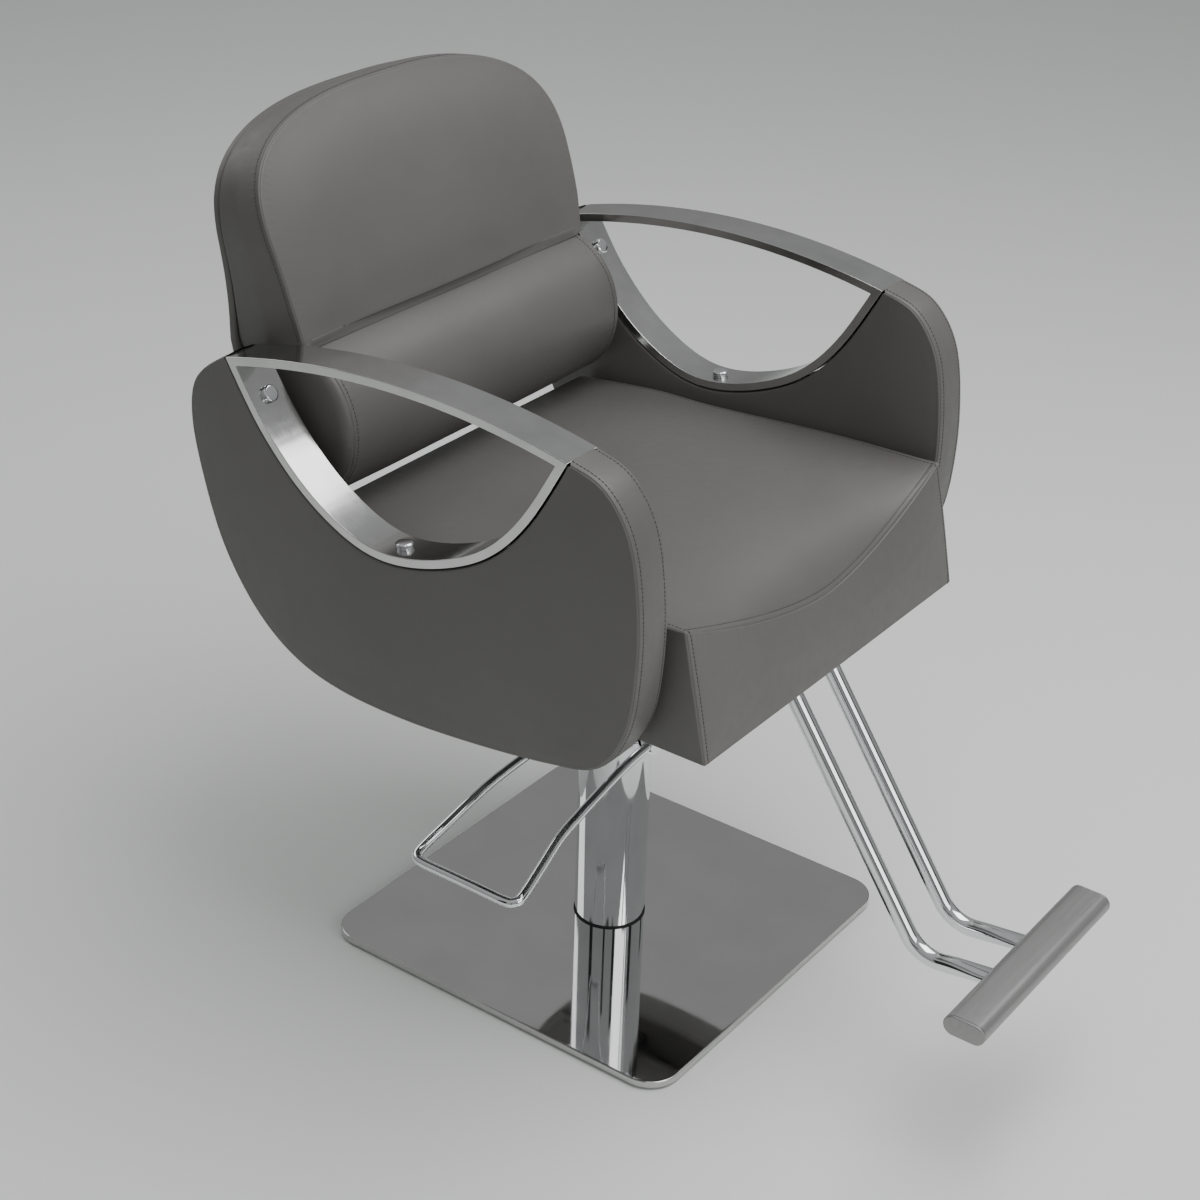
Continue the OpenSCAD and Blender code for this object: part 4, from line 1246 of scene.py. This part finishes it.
# %% Swept tubes
def swept(name, path, finish, width, height, sides=28, hint=(0, 0, 1)):
    """A bar along a path whose section is an ellipse; width and height are lists or one number."""
    path = np.array(path)
    count = len(path)
    width, height = np.broadcast_to(width, count), np.broadcast_to(height, count)
    heading = directions(path)
    across_line = np.cross(heading[0], hint)
    rows = []
    for i in range(count):
        across_line = across_line - heading[i] * (across_line @ heading[i])
        across_line /= np.linalg.norm(across_line)
        upward = np.cross(across_line, heading[i])
        rows.append([path[i] + across_line * width[i] * math.cos(a) + upward * height[i] * math.sin(a)
                     for a in np.linspace(0, 2 * math.pi, sides + 1)])
    start, end = [path[0]] * (sides + 1), [path[-1]] * (sides + 1)
    return skin(name, [np.array([start] + rows + [end])], finish, sharp_angle=50)


# %% Pedal
PEDAL_R = 6 * mm
PEDAL_HALF = smooth(np.array([
    (-10, 53, 277), (-60, 54, 272), (-150, 61, 260), (-196, 64, 250), (-236, 69, 235), (-278, 74, 219),
    (-289, 70, 215), (-292, 58, 214), (-292, 20, 214)]) * mm, 10)
pedal_line = np.concatenate([PEDAL_HALF, PEDAL_HALF[::-1] * [1, -1, 1]])
pedal = swept("pedal_bar", pedal_line, chrome, PEDAL_R, PEDAL_R)
fasten(pedal, "pedal", ["pedal_loop"])


# %% Footrest tubes
def bent(corners, radii, step=3 * mm):
    """A line through corners, each rounded with its own radius."""
    corners = [np.array(c, float) for c in corners]
    points = [corners[0]]
    for before, here, after, radius in zip(corners, corners[1:], corners[2:], radii):
        a = (here - before) / np.linalg.norm(here - before)
        b = (after - here) / np.linalg.norm(after - here)
        turn = math.acos(a @ b)
        reach = radius * math.tan(turn / 2)
        middle = here + (b - a) / np.linalg.norm(b - a) * radius / math.cos(turn / 2)
        first, last = here - a * reach - middle, here + b * reach - middle
        for t in np.linspace(0, 1, max(3, int(radius * turn / step))):
            arm = first * math.sin((1 - t) * turn) + last * math.sin(t * turn)
            points.append(middle + arm / math.sin(turn))
    points.append(corners[-1])
    line = np.array(points)
    return even(line, int(travelled(line)[-1] / step))


TUBE_R = 10.5 * mm
TUBE_X = 39 * mm
FLAT_WIDTH, FLAT_HEIGHT, FLAT_RUN = 13.5 * mm, 7.5 * mm, 62 * mm
tube_line = bent(np.array([(-145, 457), (-255, 457), (-451, 174), (-548, 188)]) * mm, (40 * mm, 45 * mm))
from_bar = travelled(tube_line)[-1] - travelled(tube_line)
flat = np.clip(1 - from_bar / FLAT_RUN, 0, 1)
flat = flat * flat * (3 - 2 * flat)
for side, word in ((-1, "right"), (1, "left")):
    tube = swept("footrest_leg_" + word, across(side * TUBE_X, tube_line), chrome,
                 TUBE_R + (FLAT_WIDTH - TUBE_R) * flat, TUBE_R + (FLAT_HEIGHT - TUBE_R) * flat, sides=40)
    fasten(tube, "seat_unit", ["footrest_tube_" + word])

# %% [markdown]
# The foot bar is an extruded alloy profile with two flat faces and two round sides. A cap with a broken
# edge is pushed into each end, with a hair of a gap between cap and bar.

# %% Foot bar
bar_low, bar_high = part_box("footrest_bar")
cap_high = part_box("footrest_caps")[1]
BAR_ROUND = (bar_high.z - bar_low.z) / 2
BAR_FLAT = (bar_high.y - bar_low.y) / 2 - BAR_ROUND
BAR_MIDDLE = np.array([(bar_low.y + bar_high.y) / 2, (bar_low.z + bar_high.z) / 2])


def bar_ring(inset):
    """The foot bar's section in [y, z], drawn in by inset."""
    points = []
    for sign in (1, -1):
        for a in np.linspace(-math.pi / 2, math.pi / 2, 17):
            points.append((sign * (BAR_FLAT + (BAR_ROUND - inset) * math.cos(a)),
                           sign * (BAR_ROUND - inset) * math.sin(a)))
    points.append(points[0])
    return BAR_MIDDLE + np.array(points)


def extruded(name, rows, finish):
    """A bar from rows of x and inset, closed at both ends."""
    grid = [across(rows[0][0], np.repeat(BAR_MIDDLE[None], 35, axis=0))]
    grid += [across(x, bar_ring(inset)) for x, inset in rows]
    grid.append(across(rows[-1][0], np.repeat(BAR_MIDDLE[None], 35, axis=0)))
    return skin(name, [np.array(grid)], finish, sharp_angle=40)


joint_x = bar_high.x
bar = extruded("foot_bar", [(-joint_x, 0.5 * mm), (-joint_x + 0.4 * mm, 0), (joint_x - 0.4 * mm, 0),
                            (joint_x, 0.5 * mm)], working["grey_alloy"])
fasten(bar, "seat_unit", ["footrest_bar"])
for side, word in ((-1, "right"), (1, "left")):
    rows = [(joint_x - 4 * mm, 3 * mm), (joint_x + 0.3 * mm, 3 * mm), (joint_x + 0.3 * mm, 0.2 * mm),
            (joint_x + 0.6 * mm, 0)]
    rows += [(cap_high.x - 1.6 * mm * (1 - math.sin(a)), 1.6 * mm * (1 - math.cos(a)))
             for a in np.linspace(0, math.pi / 2, 6)]
    cap = extruded("foot_bar_cap_" + word, [(side * x, inset) for x, inset in rows], working["grey_alloy"])
    fasten(cap, "seat_unit", ["footrest_caps"])
print("footrest legs", round(travelled(tube_line)[-1], 3), "m long")
